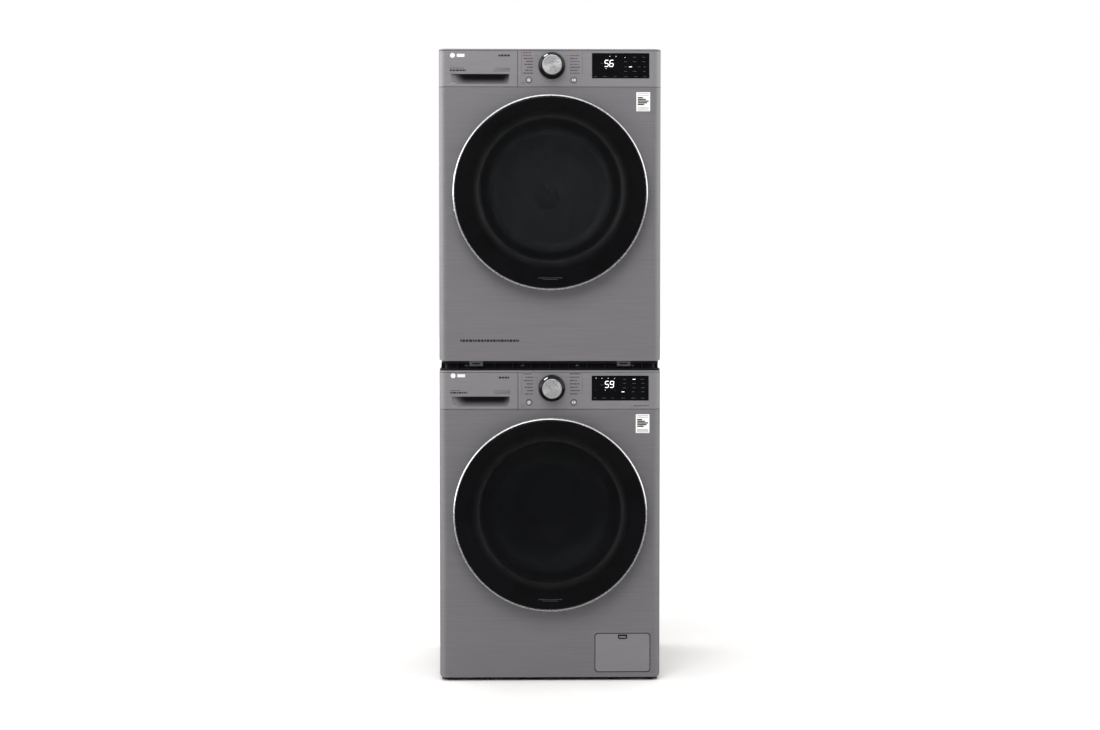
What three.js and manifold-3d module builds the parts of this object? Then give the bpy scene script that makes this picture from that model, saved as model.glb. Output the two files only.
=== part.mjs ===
// A stacked laundry pair: a front-loading washer on its levelling feet, a stacking frame on its top,
// and a heat-pump dryer on the frame. Millimetres, +Z up, the front faces -Y, and the origin is on
// the floor under the middle of the bounding box.
import * as THREE from "three";
import { mergeVertices } from "three/addons/utils/BufferGeometryUtils.js";
import Module from "manifold-3d";

const wasm = await Module();
wasm.setup();

// ---- Driving dimensions -------------------------------------------------------------------------

const HALF_WIDTH = 300; // both machines are 600 wide
const FRONT = -296; // outer face of both front panels
const RETURN = FRONT + 30; // how far the front mouldings wrap round the sides
const DOOR_FRONT = FRONT - 48; // crown of the door glass
const SHEET = 1.2; // steel sheet
const MOULDING = 2.6; // plastic mouldings
const GAP = 0.5; // between pieces that touch
const SEAM = 1.2; // visible joint between front pieces
const CORNER = 22; // radius of the upright front corners
const REAR_CORNER = 8;
const TOP_THICKNESS = 5;
const DRAWER_EDGE = -87; // seam between the drawer front and the console

const WASHER = { name: "washer", bottom: 9.5, top: 847, split: 742, rear: 264, doorZ: 458 };
const DRYER = { name: "dryer", bottom: 873, top: 1714, split: 1612, rear: 340, doorZ: 1327 };
const DRUM_RISE = 8; // the drum axis is this far above the middle of the door ring
for (const machine of [WASHER, DRYER]) machine.axisZ = machine.doorZ + DRUM_RISE;

// Front controls, measured from the seam under the console
const KNOB = { x: 5, rise: 57, skirt: 35, top: 28, height: 31, shaft: 5 };
const BUTTON = { rise: 18.5, radius: 7.4, flange: 9.2, proud: 2, power: -57, start: 64.5 };
const DISPLAY = { left: 113, right: 268, rise: 23, height: 68 };
const SCOOP = { left: -274, right: -109, rise: 7.8, height: 26.8, depth: 24 };

// Door, about its own centre
const DOOR = { radius: 257.4, rear: FRONT - 4, panDepth: 31, wall: 4, ringOut: 262, hole: 176 };
const HINGE = { x: -254, y: FRONT - 23, knuckle: 6, pin: 3, halfHeight: 50 };
const GRIP = { left: 222, halfHeight: 52, depth: 18 };
const PORTHOLE = 200; // hole in each front panel

const FOOT = { x: 278, front: -262, rear: 235, radius: 17.5, pad: 9, stud: 5, top: 46 };
const FLAP = { left: 122.5, right: 273, bottom: 23.5, top: 129.3, corner: 8, thickness: 3 };
const FILTER = { x: 180, z: 76, socket: 30 };
const TUB = { radius: 256, wall: 4, mouth: 176, front: -216, rear: 152 };
const WASHER_DRUM = { radius: 238, mouth: 172, front: -200, rear: 124 };
const DRYER_DRUM = { radius: 268, mouth: 228, front: -205, rear: 224, shaft: 12 };
const THROAT = { bore: 186, wall: 4, face: 242 };
const LINT = { halfWidth: 101.5, front: -242, back: -220, low: -265, top: -140 };
const ROLLER = { radius: 30, pin: 7, angle: 35, front: -196, width: 20 };
const MOTOR = { x: 170, z: 975, radius: 60, pulley: 10, beltY: 20, beltWidth: 14, belt: 2.4 };
const SPRING = { x: 225, y: 15, radius: 11, low: 632, high: 812 };
const DAMPER = { x: 170, y: -20, rod: 10, sleeve: 17, sleeveTop: 175, rodLow: 60, rodHigh: 244 };

// Water, laundry chemistry and cords
const TRAY = { x: [-283, -97], front: RETURN + 1, wall: 2.4 }; // both drawers share this width
const DETERGENT = { low: 752, high: 830, rear: -22, dividers: [-222, -160] };
const TANK = { low: 1617.5, high: 1703, rear: 128, mouth: [[-225, -155], [-240, -170]] };
const DISPENSER = { x: [-290, -90.5], low: 744.5, rear: -8, wall: 2.5, duct: 12 };
const INLET = { x: [-212, -168], z: 800, radius: 13, front: 261, rear: 288 };
const DRAIN = { x: 224, z: 104, radius: 11 };
const GLAND = { radius: 11, washer: [250, 800], dryer: [-262, 1690] };

// Back covers, and the refrigerant circuit on the dryer's floor
const ACCESS_COVER = 150;
const REAR_COVER = { edge: 252, face: 248 };
const TOWER = { tip: 38, root: 60, front: 262, bore: [250, 310] };
const COMPRESSOR = { x: -205, y: 170, flange: 62, can: 54, height: 142 };
const COIL = { x: [-120, 60], fronts: [-150, 10], depth: 120, height: 118 };
const SPRING_RAIL = { inner: 205, y: [0, 30], thickness: 4.5 };

// ---- Solids ---------------------------------------------------------------------------------------

// A closed geometry as a manifold-3d solid, turned outside out if its faces point inwards.
function solid(geometry) {
  const loose = geometry.index ? geometry.toNonIndexed() : geometry;
  const bare = new THREE.BufferGeometry().setAttribute("position", loose.getAttribute("position"));
  const merged = mergeVertices(bare, 1e-3);
  const corners = merged.getAttribute("position");
  const faces = [];
  let volume = 0;
  const [a, b, c] = [new THREE.Vector3(), new THREE.Vector3(), new THREE.Vector3()];
  for (let i = 0; i < merged.index.count; i += 3) {
    const face = [0, 1, 2].map((k) => merged.index.getX(i + k));
    if (new Set(face).size < 3) continue;
    [a, b, c].forEach((corner, k) => corner.fromBufferAttribute(corners, face[k]));
    volume += a.dot(b.cross(c));
    faces.push(face);
  }
  const triVerts = new Uint32Array(faces.flatMap(([p, q, r]) => (volume < 0 ? [p, r, q] : [p, q, r])));
  return new wasm.Manifold(new wasm.Mesh({ numProp: 3, vertProperties: corners.array, triVerts }));
}

function box([x0, x1], [y0, y1], [z0, z1]) {
  const block = new THREE.BoxGeometry(x1 - x0, y1 - y0, z1 - z0);
  return solid(block.translate((x0 + x1) / 2, (y0 + y1) / 2, (z0 + z1) / 2));
}

// A profile of [radius, y] points turned about the Y direction through (x, z).
function turned(profile, x, z, segments = 40) {
  const outline = profile.map(([r, y]) => new THREE.Vector2(r, y));
  return solid(new THREE.LatheGeometry(outline, segments).translate(x, 0, z));
}

// The same about the Z direction through (x, y), with [radius, z] points.
const upright = (profile, x, y, segments = 24) =>
  solid(
    new THREE.LatheGeometry(profile.map(([r, z]) => new THREE.Vector2(r, z)), segments)
      .rotateX(Math.PI / 2)
      .translate(x, y, 0),
  );

const disc = (radius, [low, high]) => [[0, low], [radius, low], [radius, high], [0, high]];
const tube = (inner, outer, [low, high]) => {
  const start = [inner, low];
  return [start, [outer, low], [outer, high], [inner, high], start];
};
const rod = (radius, ends, x, z, segments = 24) => turned(disc(radius, ends), x, z, segments);
const post = (radius, ends, x, y, segments = 20) => upright(disc(radius, ends), x, y, segments);

// An outline drawn in X and Y, raised between two heights.
const raised = (outline, [z0, z1], curveSegments = 4) => {
  const settings = { depth: z1 - z0, bevelEnabled: false, curveSegments };
  return solid(new THREE.ExtrudeGeometry(outline, settings).translate(0, 0, z0));
};

// An outline drawn in X and Z, run between two depths.
const deep = (outline, [y0, y1], curveSegments = 4) => {
  const settings = { depth: y1 - y0, bevelEnabled: false, curveSegments };
  return solid(new THREE.ExtrudeGeometry(outline, settings).rotateX(Math.PI / 2).translate(0, y1, 0));
};

// A rectangle with its own radius at each corner, from the low left one round to the upper left one.
function roundedRectangle([u0, u1], [v0, v1], [lowLeft, lowRight, highRight, highLeft]) {
  const outline = new THREE.Shape();
  outline.moveTo(u0 + lowLeft, v0);
  outline.lineTo(u1 - lowRight, v0);
  if (lowRight) outline.absarc(u1 - lowRight, v0 + lowRight, lowRight, -Math.PI / 2, 0);
  outline.lineTo(u1, v1 - highRight);
  if (highRight) outline.absarc(u1 - highRight, v1 - highRight, highRight, 0, Math.PI / 2);
  outline.lineTo(u0 + highLeft, v1);
  if (highLeft) outline.absarc(u0 + highLeft, v1 - highLeft, highLeft, Math.PI / 2, Math.PI);
  outline.lineTo(u0, v0 + lowLeft);
  if (lowLeft) outline.absarc(u0 + lowLeft, v0 + lowLeft, lowLeft, Math.PI, 1.5 * Math.PI);
  return outline;
}

const join = (...solids) => solids.reduce((all, next) => all.add(next));
const cut = (body, ...tools) => tools.reduce((left, tool) => left.subtract(tool), body);

// ---- Finishes and the assembly ----------------------------------------------------------------------

function finish(color, roughness, metalness) {
  return new THREE.MeshStandardMaterial({ color, roughness, metalness });
}
const FINISHES = {
  graphite: finish(0x77767a, 0.42, 0.6),
  topCoat: finish(0x6f6e72, 0.5, 0.3),
  blackPlastic: finish(0x121214, 0.45, 0),
  blackGlass: finish(0x08080a, 0.06, 0),
  bowlGlass: finish(0x9fa6a8, 0.05, 0),
  chrome: finish(0xd6d6d8, 0.15, 1),
  steel: finish(0xb4b6b8, 0.3, 1),
  galvanised: finish(0x9a9da0, 0.45, 0.8),
  whitePlastic: finish(0xdcdcda, 0.5, 0),
  greyPlastic: finish(0x6c6e70, 0.5, 0),
  rubber: finish(0x5a5c5e, 0.75, 0),
  concrete: finish(0x8e8c86, 0.9, 0),
  copper: finish(0xb06a3a, 0.35, 1),
};

const stack = new THREE.Group();

function place(name, body, finishName) {
  const made = body.getMesh();
  const geometry = new THREE.BufferGeometry();
  const corners = new Float32Array(made.numVert * 3);
  for (let i = 0; i < made.numVert; i++)
    corners.set(made.vertProperties.subarray(i * made.numProp, i * made.numProp + 3), i * 3);
  geometry.setAttribute("position", new THREE.BufferAttribute(corners, 3));
  geometry.setIndex(new THREE.BufferAttribute(made.triVerts, 1));
  geometry.computeVertexNormals();
  const mesh = new THREE.Mesh(geometry, FINISHES[finishName]);
  mesh.name = name;
  stack.add(mesh);
}

// ---- Casing -----------------------------------------------------------------------------------------

// A sheet bent round three sides: the plan between two radii, open towards `open` (-1 front, +1 rear).
function bentSheet([y0, y1], radius, thickness, [z0, z1], open) {
  const radii = (r) => (open < 0 ? [0, 0, r, r] : [r, r, 0, 0]);
  const inside = open < 0 ? [y0 - 1, y1 - thickness] : [y0 + thickness, y1 + 1];
  const innerHalf = HALF_WIDTH - thickness;
  return cut(
    raised(roundedRectangle([-HALF_WIDTH, HALF_WIDTH], [y0, y1], radii(radius)), [z0, z1]),
    raised(roundedRectangle([-innerHalf, innerHalf], inside, radii(radius - thickness)), [z0 - 1, z1 + 1]),
  );
}

const wrap = (machine) =>
  bentSheet(
    [RETURN + GAP, machine.rear],
    REAR_CORNER,
    SHEET,
    [machine.bottom + 2, machine.top - TOP_THICKNESS - GAP],
    -1,
  );

function washerCabinet() {
  const wall = WASHER.rear;
  const through = [wall - 4, wall + 4];
  const rail = (side) => {
    const reach = [side * SPRING_RAIL.inner, side * (HALF_WIDTH - 0.5)].sort((a, b) => a - b);
    const low = SPRING.high + GAP;
    return box(reach, SPRING_RAIL.y, [low, low + SPRING_RAIL.thickness]);
  };
  const accessCover = rod(ACCESS_COVER, [wall - 0.5, wall + 2.5], 0, WASHER.axisZ, 36);
  const cordGland = rod(GLAND.radius, [wall - 0.5, wall + 12], ...GLAND.washer, 16);
  return cut(
    join(wrap(WASHER), rail(-1), rail(1), accessCover, cordGland),
    ...INLET.x.map((x) => rod(INLET.radius + 2, through, x, INLET.z, 20)),
    rod(DRAIN.radius + 2.5, through, DRAIN.x, DRAIN.z, 20),
  );
}

function dryerCabinet() {
  const wall = DRYER.rear;
  const root = wall - 0.5;
  const coverLine = [[0, root], [REAR_COVER.edge, root], [REAR_COVER.face, wall + 4], [0, wall + 4]];
  const towerLine = [[0, TOWER.front], [TOWER.tip, TOWER.front], [TOWER.root, root], [0, root]];
  const rearCover = turned(coverLine, 0, DRYER.axisZ);
  const bearingTower = turned(towerLine, 0, DRYER.axisZ, 32);
  const cordGland = rod(GLAND.radius, [root, wall + 4], ...GLAND.dryer, 16);
  return cut(
    join(wrap(DRYER), rearCover, bearingTower, cordGland),
    rod(DRYER_DRUM.shaft + 0.6, TOWER.bore, 0, DRYER.axisZ, 24),
  );
}

const topPanel = (machine) =>
  raised(
    roundedRectangle(
      [-HALF_WIDTH, HALF_WIDTH],
      [FRONT, machine.rear],
      [CORNER, CORNER, REAR_CORNER, REAR_CORNER],
    ),
    [machine.top - TOP_THICKNESS, machine.top],
  );

function frontPanel(machine) {
  const skin = bentSheet([FRONT, RETURN], CORNER, SHEET, [machine.bottom, machine.split - SEAM / 2], 1);
  const collar = turned(tube(PORTHOLE, PORTHOLE + SHEET, [FRONT + 0.4, FRONT + 20]), 0, machine.axisZ);
  const latchSlot = box([208, 228], [FRONT - 2, FRONT + 3], [machine.doorZ - 14, machine.doorZ + 14]);
  return cut(join(skin, collar), rod(PORTHOLE, [FRONT - 2, FRONT + 3], 0, machine.axisZ, 40), latchSlot);
}

function washerFront() {
  const opening = roundedRectangle(
    [FLAP.left - 0.8, FLAP.right + 0.8],
    [FLAP.bottom - 0.8, FLAP.top + 0.8],
    Array(4).fill(FLAP.corner + 0.8),
  );
  return cut(frontPanel(WASHER), deep(opening, [FRONT - 2, FRONT + 3]));
}

function dryerFront() {
  const width = (x) => [x - 18.5, x + 18.5];
  const tab = (x) => box(width(x), [FRONT + 0.8, FRONT + 2.2], [DRYER.bottom - 14.5, DRYER.bottom + 3]);
  return join(frontPanel(DRYER), tab(-200), tab(200));
}

// ---- Controls ---------------------------------------------------------------------------------------

const controlHeights = (machine) => [machine.split + SEAM / 2, machine.top - TOP_THICKNESS - GAP];

function consoleCover(machine) {
  const heights = controlHeights(machine);
  const left = DRAWER_EDGE + SEAM / 2;
  const shell = cut(
    raised(roundedRectangle([left, HALF_WIDTH], [FRONT, RETURN], [0, CORNER, 0, 0]), heights),
    raised(
      roundedRectangle(
        [left + MOULDING, HALF_WIDTH - MOULDING],
        [FRONT + MOULDING, RETURN + 1],
        [0, CORNER - MOULDING, 0, 0],
      ),
      [heights[0] - 1, heights[1] + 1],
    ),
  );
  const through = [FRONT - 2, FRONT + 5];
  const low = machine.split + DISPLAY.rise;
  const buttonHole = (x) => rod(BUTTON.radius + 0.6, through, x, machine.split + BUTTON.rise, 16);
  return cut(
    shell,
    box([DISPLAY.left, DISPLAY.right], through, [low, low + DISPLAY.height]),
    rod(KNOB.shaft + 2, through, KNOB.x, machine.split + KNOB.rise, 16),
    buttonHole(BUTTON.power),
    buttonHole(BUTTON.start),
  );
}

function displayModule(machine) {
  const low = machine.split + DISPLAY.rise;
  const high = low + DISPLAY.height;
  return join(
    box([DISPLAY.left + GAP, DISPLAY.right - GAP], [FRONT - 0.3, FRONT + 2], [low + GAP, high - GAP]),
    box([DISPLAY.left + 5, DISPLAY.right - 5], [FRONT + 1.5, FRONT + 15], [low + 4, high - 4]),
  );
}

const knob = (machine) =>
  turned(
    [
      [0, FRONT - KNOB.height],
      [KNOB.top - 1, FRONT - KNOB.height],
      [KNOB.top, FRONT - KNOB.height + 1.5],
      [KNOB.top + 3, FRONT - 10],
      [KNOB.skirt, FRONT - 4],
      [KNOB.skirt, FRONT - 0.8],
      [KNOB.shaft, FRONT - 0.8],
      [KNOB.shaft, FRONT + 32],
      [0, FRONT + 32],
    ],
    KNOB.x,
    machine.split + KNOB.rise,
    32,
  );

const button = (machine, x) =>
  turned(
    [
      [0, FRONT - BUTTON.proud],
      [BUTTON.radius - 0.6, FRONT - BUTTON.proud],
      [BUTTON.radius, FRONT - BUTTON.proud + 0.6],
      [BUTTON.radius, FRONT + 4.8],
      [BUTTON.flange, FRONT + 4.8],
      [BUTTON.flange, FRONT + 7],
      [0, FRONT + 7],
    ],
    x,
    machine.split + BUTTON.rise,
    16,
  );

// ---- Drawers ----------------------------------------------------------------------------------------

// The finger scoop: its outline on the face, and its plan, which ramps in from the left.
function scoopCavity(machine, margin) {
  const low = machine.split + SCOOP.rise;
  const high = low + SCOOP.height;
  const face = new THREE.Shape();
  face.moveTo(SCOOP.left - margin, high + margin);
  face.lineTo(SCOOP.left + 24 - margin, low - margin);
  face.lineTo(SCOOP.right - 16, low - margin);
  face.quadraticCurveTo(SCOOP.right - 2 + margin, low - margin, SCOOP.right + margin, high + margin);
  const depth = SCOOP.depth + margin;
  const plan = new THREE.Shape();
  plan.moveTo(SCOOP.left - margin, FRONT - 1);
  plan.lineTo(SCOOP.left - margin, FRONT + margin);
  plan.lineTo(SCOOP.left + 48, FRONT + depth);
  plan.lineTo(SCOOP.right - 20, FRONT + depth);
  plan.quadraticCurveTo(SCOOP.right + margin, FRONT + depth, SCOOP.right + margin, FRONT + margin);
  plan.lineTo(SCOOP.right + margin, FRONT - 1);
  const walls = deep(face, [FRONT - 2, FRONT + depth + 1]);
  return walls.intersect(raised(plan, [low - margin, high + margin]));
}

function drawerFront(machine) {
  const heights = controlHeights(machine);
  const right = DRAWER_EDGE - SEAM / 2;
  const skin = cut(
    raised(roundedRectangle([-HALF_WIDTH, right], [FRONT, RETURN], [CORNER, 0, 0, 0]), heights),
    raised(
      roundedRectangle(
        [-HALF_WIDTH + MOULDING, right - MOULDING],
        [FRONT + MOULDING, RETURN + 1],
        [CORNER - MOULDING, 0, 0, 0],
      ),
      [heights[0] - 1, heights[1] + 1],
    ),
  );
  const cup = scoopCavity(machine, 2.6).intersect(
    box([-HALF_WIDTH, right], [FRONT + 1, RETURN], [heights[0], heights[1]]),
  );
  return cut(join(skin, cup), scoopCavity(machine, 0));
}

// An open box with a floor and four walls.
function openBox([x0, x1], [y0, y1], [z0, z1], wall) {
  return cut(
    box([x0, x1], [y0, y1], [z0, z1]),
    box([x0 + wall, x1 - wall], [y0 + wall, y1 - wall], [z0 + wall, z1 + 1]),
  );
}

// Two arms that clip a tray to the back of its drawer front.
const clipArms = (z) => {
  const reach = [FRONT + MOULDING + GAP, TRAY.front + 1];
  return [TRAY.x[0] + 4, TRAY.x[1] - 4].map((x) => box([x, x + 4], reach, [z - 9, z + 9]));
};

function detergentTray() {
  const { low, high, rear } = DETERGENT;
  const divider = (x) => box([x - 1.2, x + 1.2], [TRAY.front + 1, rear - 1], [low + 1, high - 8]);
  return join(
    openBox(TRAY.x, [TRAY.front, rear], [low, high], TRAY.wall),
    ...DETERGENT.dividers.map(divider),
    ...clipArms(high - 19),
  );
}

// The tray's housing, with the fill duct, the inlet valve and its two threaded spigots on one moulding.
function dispenser() {
  const { low, rear, wall, duct } = DISPENSER;
  const high = WASHER.top - TOP_THICKNESS - GAP;
  const [x0, x1] = DISPENSER.x;
  const housing = cut(
    box([x0, x1], [RETURN + 4, rear], [low, high]),
    box([x0 + wall, x1 - wall], [RETURN, rear - wall], [low + wall, high - wall]),
  );
  const [left, right] = INLET.x;
  return join(
    housing,
    rod(duct, [rear - 1, 244], (left + right) / 2, INLET.z, 16),
    box([left - 18, right + 18], [236, INLET.front + 1], [INLET.z - 20, INLET.z + 20]),
    ...INLET.x.map((x) => rod(INLET.radius, [INLET.front, INLET.rear], x, INLET.z, 24)),
  );
}

function waterTank() {
  const { low, high, rear, mouth } = TANK;
  const shell = join(
    openBox(TRAY.x, [TRAY.front, rear], [low, high], TRAY.wall),
    box([TRAY.x[0] + 1, TRAY.x[1] - 1], [TRAY.front + 1, rear - 1], [high - 2.4, high]),
    ...clipArms(high - 19),
  );
  return cut(shell, box(...mouth, [high - 4, high + 1]));
}

// ---- Doors ------------------------------------------------------------------------------------------

const doorRing = (machine) =>
  turned(
    [
      [DOOR.radius + 0.6, FRONT - 40],
      [DOOR.ringOut - 1.4, FRONT - 42],
      [DOOR.ringOut, FRONT - 40.4],
      [DOOR.ringOut, FRONT - 30],
      [DOOR.radius + 0.6, FRONT - 30],
      [DOOR.radius + 0.6, FRONT - 40],
    ],
    0,
    machine.doorZ,
    48,
  );

const doorGlass = (machine) =>
  turned(
    [
      [0, DOOR_FRONT],
      [120, DOOR_FRONT + 1],
      [200, DOOR_FRONT + 4],
      [DOOR.radius, DOOR_FRONT + 9.6],
      [DOOR.radius, FRONT - 35.4],
      [228, DOOR_FRONT + 10],
      [120, DOOR_FRONT + 5],
      [0, DOOR_FRONT + 4],
    ],
    0,
    machine.doorZ,
    48,
  );

// A pan behind the glass, with the bowl's hole, a grip cut in its right edge, a latch hook at the back
// and the moving half of the hinge at the left.
function doorFrame(machine) {
  const z = machine.doorZ;
  const face = DOOR.rear - DOOR.panDepth;
  const [gripHalf, gripFloor] = [GRIP.halfHeight, DOOR.rear - GRIP.depth];
  const slab = rod(DOOR.radius, [face, DOOR.rear], 0, z, 48);
  const pan = cut(
    slab,
    rod(DOOR.radius - DOOR.wall, [face - 1, DOOR.rear - 3], 0, z, 48),
    rod(DOOR.hole, [DOOR.rear - 5, DOOR.rear + 1], 0, machine.axisZ, 40),
  );
  const aroundGrip = [z - gripHalf - 3, z + gripHalf + 3];
  const gripBlock = box([GRIP.left - 3, 262], [gripFloor - 3, DOOR.rear], aroundGrip);
  const hookWidth = [214, 222];
  const hook = join(
    box(hookWidth, [DOOR.rear - 2, DOOR.rear + 16], [z - 8, z + 3]),
    box(hookWidth, [DOOR.rear + 11, DOOR.rear + 16], [z - 8, z + 9]),
  );
  const clearance = box([-266, -231], [face - 1, DOOR.rear + 1], [z - 57, z + 57]);
  const knuckle = join(
    post(HINGE.knuckle, [z - 25, z + 25], HINGE.x, HINGE.y),
    box([HINGE.x, -228], [HINGE.y - 4, HINGE.y + 4], [z - 25, z + 25]),
    box([-231, -228], [face + 2, DOOR.rear - 1], [z - 60, z + 60]),
    post(HINGE.pin, [z - HINGE.halfHeight + 2, z + HINGE.halfHeight - 2], HINGE.x, HINGE.y, 16),
  );
  return join(
    cut(
      join(pan, gripBlock.intersect(slab)),
      box([GRIP.left, 270], [gripFloor, DOOR.rear + 1], [z - gripHalf, z + gripHalf]),
      clearance,
    ),
    hook,
    knuckle,
  );
}

// The fixed half of the hinge: a plate on the front panel and two arms that reach round to the pin.
function hingeBracket(machine) {
  const z = machine.doorZ;
  const arm = ([low, high]) =>
    join(
      post(HINGE.knuckle, [low, high], HINGE.x, HINGE.y),
      box([HINGE.x, HINGE.x + 18], [HINGE.y - 4, HINGE.y + 4], [low, high]),
      box([HINGE.x + 10, HINGE.x + 18], [HINGE.y - 4, FRONT - 2], [low, high]),
    );
  const arms = [
    [z - HINGE.halfHeight, z - 25.6],
    [z + 25.6, z + HINGE.halfHeight],
  ];
  return cut(
    join(box([-250, -232], [FRONT - 3.3, FRONT - 0.3], [z - 54, z + 54]), ...arms.map(arm)),
    post(HINGE.pin + 0.35, [z - 60, z + 60], HINGE.x, HINGE.y, 16),
  );
}

// The inner bowl, a thick shell hung behind the glass by its flange.
function doorBowl(machine, outer, inner) {
  const flange = DOOR.rear - 3.4;
  const start = [184, flange - 3.6];
  const profile = [start, [184, flange], [174, flange], ...outer, ...inner, [168, flange - 3.6], start];
  return turned(profile, 0, machine.axisZ);
}
const washerBowl = () =>
  doorBowl(
    WASHER,
    [[170, -262], [150, -216], [120, -199], [0, -195]],
    [[0, -200], [117, -204], [145, -220], [165, -264]],
  );
const dryerBowl = () =>
  doorBowl(DRYER, [[166, -275], [150, -260], [0, -254]], [[0, -259], [147, -265], [160, -278]]);

// ---- Washer: tub, drum and drive --------------------------------------------------------------------

const washerGasket = () =>
  turned(
    [
      [182, -293],
      [199.2, -293],
      [199.2, -287],
      [191, -281],
      [191, -264],
      [185, -255],
      [191, -242],
      [191, -221],
      [182.8, -221],
      [182.8, -233],
      [187, -240],
      [181, -255],
      [187, -266],
      [182, -293],
    ],
    0,
    WASHER.axisZ,
  );

function tub() {
  const { radius, wall, mouth, front, rear } = TUB;
  const [hub, bore, hubRear] = [34, 13.2, 186];
  const shell = turned(
    [
      [mouth, front - 16],
      [mouth + 6, front - 16],
      [mouth + 6, front],
      [radius, front],
      [radius, rear],
      [hub, rear],
      [hub, hubRear],
      [bore, hubRear],
      [bore, rear - wall],
      [radius - wall, rear - wall],
      [radius - wall, front + wall],
      [mouth, front + wall],
      [mouth, front - 16],
    ],
    0,
    WASHER.axisZ,
  );
  const lug = (side) => {
    const ends = [side * 190, side * 240].sort((a, b) => a - b);
    return box(ends, [SPRING.y - 12, SPRING.y + 12], [SPRING.low - 22, SPRING.low - GAP]);
  };
  const foot = (side) => {
    const x = side * DAMPER.x;
    return box([x - 14, x + 14], [DAMPER.y - 14, DAMPER.y + 14], [DAMPER.rodHigh + GAP, 290]);
  };
  const hollow = rod(radius - wall, [front + wall, rear - wall], 0, WASHER.axisZ, 40);
  return join(shell, cut(join(lug(-1), lug(1), foot(-1), foot(1)), hollow));
}

const counterweight = () =>
  turned(tube(198, 248, [-262, TUB.front - GAP]), 0, WASHER.axisZ, 36);

// A tapered rib along the inside of a drum, at an angle round its axis: half its width at the foot,
// how far it stands in, and its two ends.
function rib(drum, axisZ, angle, [halfWidth, height], [low, high]) {
  const seat = drum.radius - 0.6;
  const crest = drum.radius - height;
  const spread = Math.asin(halfWidth / seat);
  const section = new THREE.Shape();
  section.absarc(0, 0, seat, Math.PI / 2 + spread, Math.PI / 2 - spread, true);
  section.quadraticCurveTo(halfWidth - 8, crest, halfWidth - 16, crest);
  section.lineTo(16 - halfWidth, crest);
  section.quadraticCurveTo(8 - halfWidth, crest, -seat * Math.sin(spread), seat * Math.cos(spread));
  const settings = { depth: high - low, bevelEnabled: false, curveSegments: 3 };
  return solid(
    new THREE.ExtrudeGeometry(section, settings)
      .translate(0, 0, low - high)
      .rotateX(Math.PI / 2)
      .rotateY(THREE.MathUtils.degToRad(angle))
      .translate(0, low, axisZ),
  );
}

// A lifter is such a rib with a hollow right through it.
function lifter(drum, axisZ, angle, height, [low, high]) {
  const inside = { ...drum, radius: drum.radius - 1.2 };
  return cut(
    rib(drum, axisZ, angle, [24, height], [low, high]),
    rib(inside, axisZ, angle, [20.5, height - 5], [low - 1, high + 1]),
  );
}
const LIFTER_ANGLES = [0, 120, 240]; // the first one is at the top

function washerDrum() {
  const { radius, mouth, front, rear } = WASHER_DRUM;
  const shell = turned(
    [
      [0, rear - 2],
      [radius - 1.2, rear - 2],
      [radius - 1.2, front + 1.2],
      [mouth + 2, front + 1.2],
      [mouth, front + 3],
      [mouth, front],
      [radius, front],
      [radius, rear],
      [40, rear],
      [40, rear + 17],
      [0, rear + 17],
    ],
    0,
    WASHER.axisZ,
  );
  const spiderArm = (angle) =>
    solid(
      new THREE.BoxGeometry(26, 12, 190)
        .translate(0, 0, 125)
        .rotateY(THREE.MathUtils.degToRad(angle + 60))
        .translate(0, rear + 5.8, WASHER.axisZ),
    );
  return join(
    shell,
    ...LIFTER_ANGLES.map((angle) => lifter(WASHER_DRUM, WASHER.axisZ, angle, 45, [front + 20, rear - 12])),
    ...LIFTER_ANGLES.map(spiderArm),
  );
}

const stator = () => turned(tube(34.6, 120, [TUB.rear + GAP, 186]), 0, WASHER.axisZ, 32);

const rotor = () =>
  turned(
    [
      [0, 141.5],
      [12.5, 141.5],
      [12.5, 196],
      [124, 196],
      [124, 168],
      [128, 168],
      [128, 200],
      [20, 200],
      [20, 208],
      [0, 208],
    ],
    0,
    WASHER.axisZ,
    32,
  );

const spring = (side) => post(SPRING.radius, [SPRING.low, SPRING.high], side * SPRING.x, SPRING.y, 12);
const damperRod = (side) => post(DAMPER.rod, [DAMPER.rodLow, DAMPER.rodHigh], side * DAMPER.x, DAMPER.y, 16);

// ---- Washer: base, feet, drain ----------------------------------------------------------------------

const footPlaces = [
  ["front_left", -FOOT.x, FOOT.front],
  ["front_right", FOOT.x, FOOT.front],
  ["rear_left", -FOOT.x, FOOT.rear],
  ["rear_right", FOOT.x, FOOT.rear],
];

function washerBase() {
  const plate = raised(roundedRectangle([-296, 296], [-292, 260], [22, 22, 5, 5]), [20, 23]);
  const tabs = [-171, 171].map((x) => box([x - 11, x + 11], [-292, -276], [4.6, 21]));
  const bosses = footPlaces.map(([, x, y]) => post(13, [16, 38], x, y, 16));
  const threads = footPlaces.map(([, x, y]) => post(FOOT.stud + 0.5, [10, 50], x, y, 12));
  const sleeve = (radius, ends) => [-1, 1].map((side) => post(radius, ends, side * DAMPER.x, DAMPER.y));
  return cut(
    join(plate, ...tabs, ...bosses, ...sleeve(DAMPER.sleeve, [22, DAMPER.sleeveTop])),
    ...threads,
    ...sleeve(DAMPER.rod + 1, [30, DAMPER.sleeveTop + 1]),
  );
}

const levellingFoot = (x, y) =>
  upright(
    [
      [0, 0],
      [FOOT.radius - 1, 0],
      [FOOT.radius, 1.5],
      [FOOT.radius - 1.5, FOOT.pad],
      [FOOT.stud, FOOT.pad],
      [FOOT.stud, FOOT.top],
      [0, FOOT.top],
    ],
    x,
    y,
    16,
  );

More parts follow.
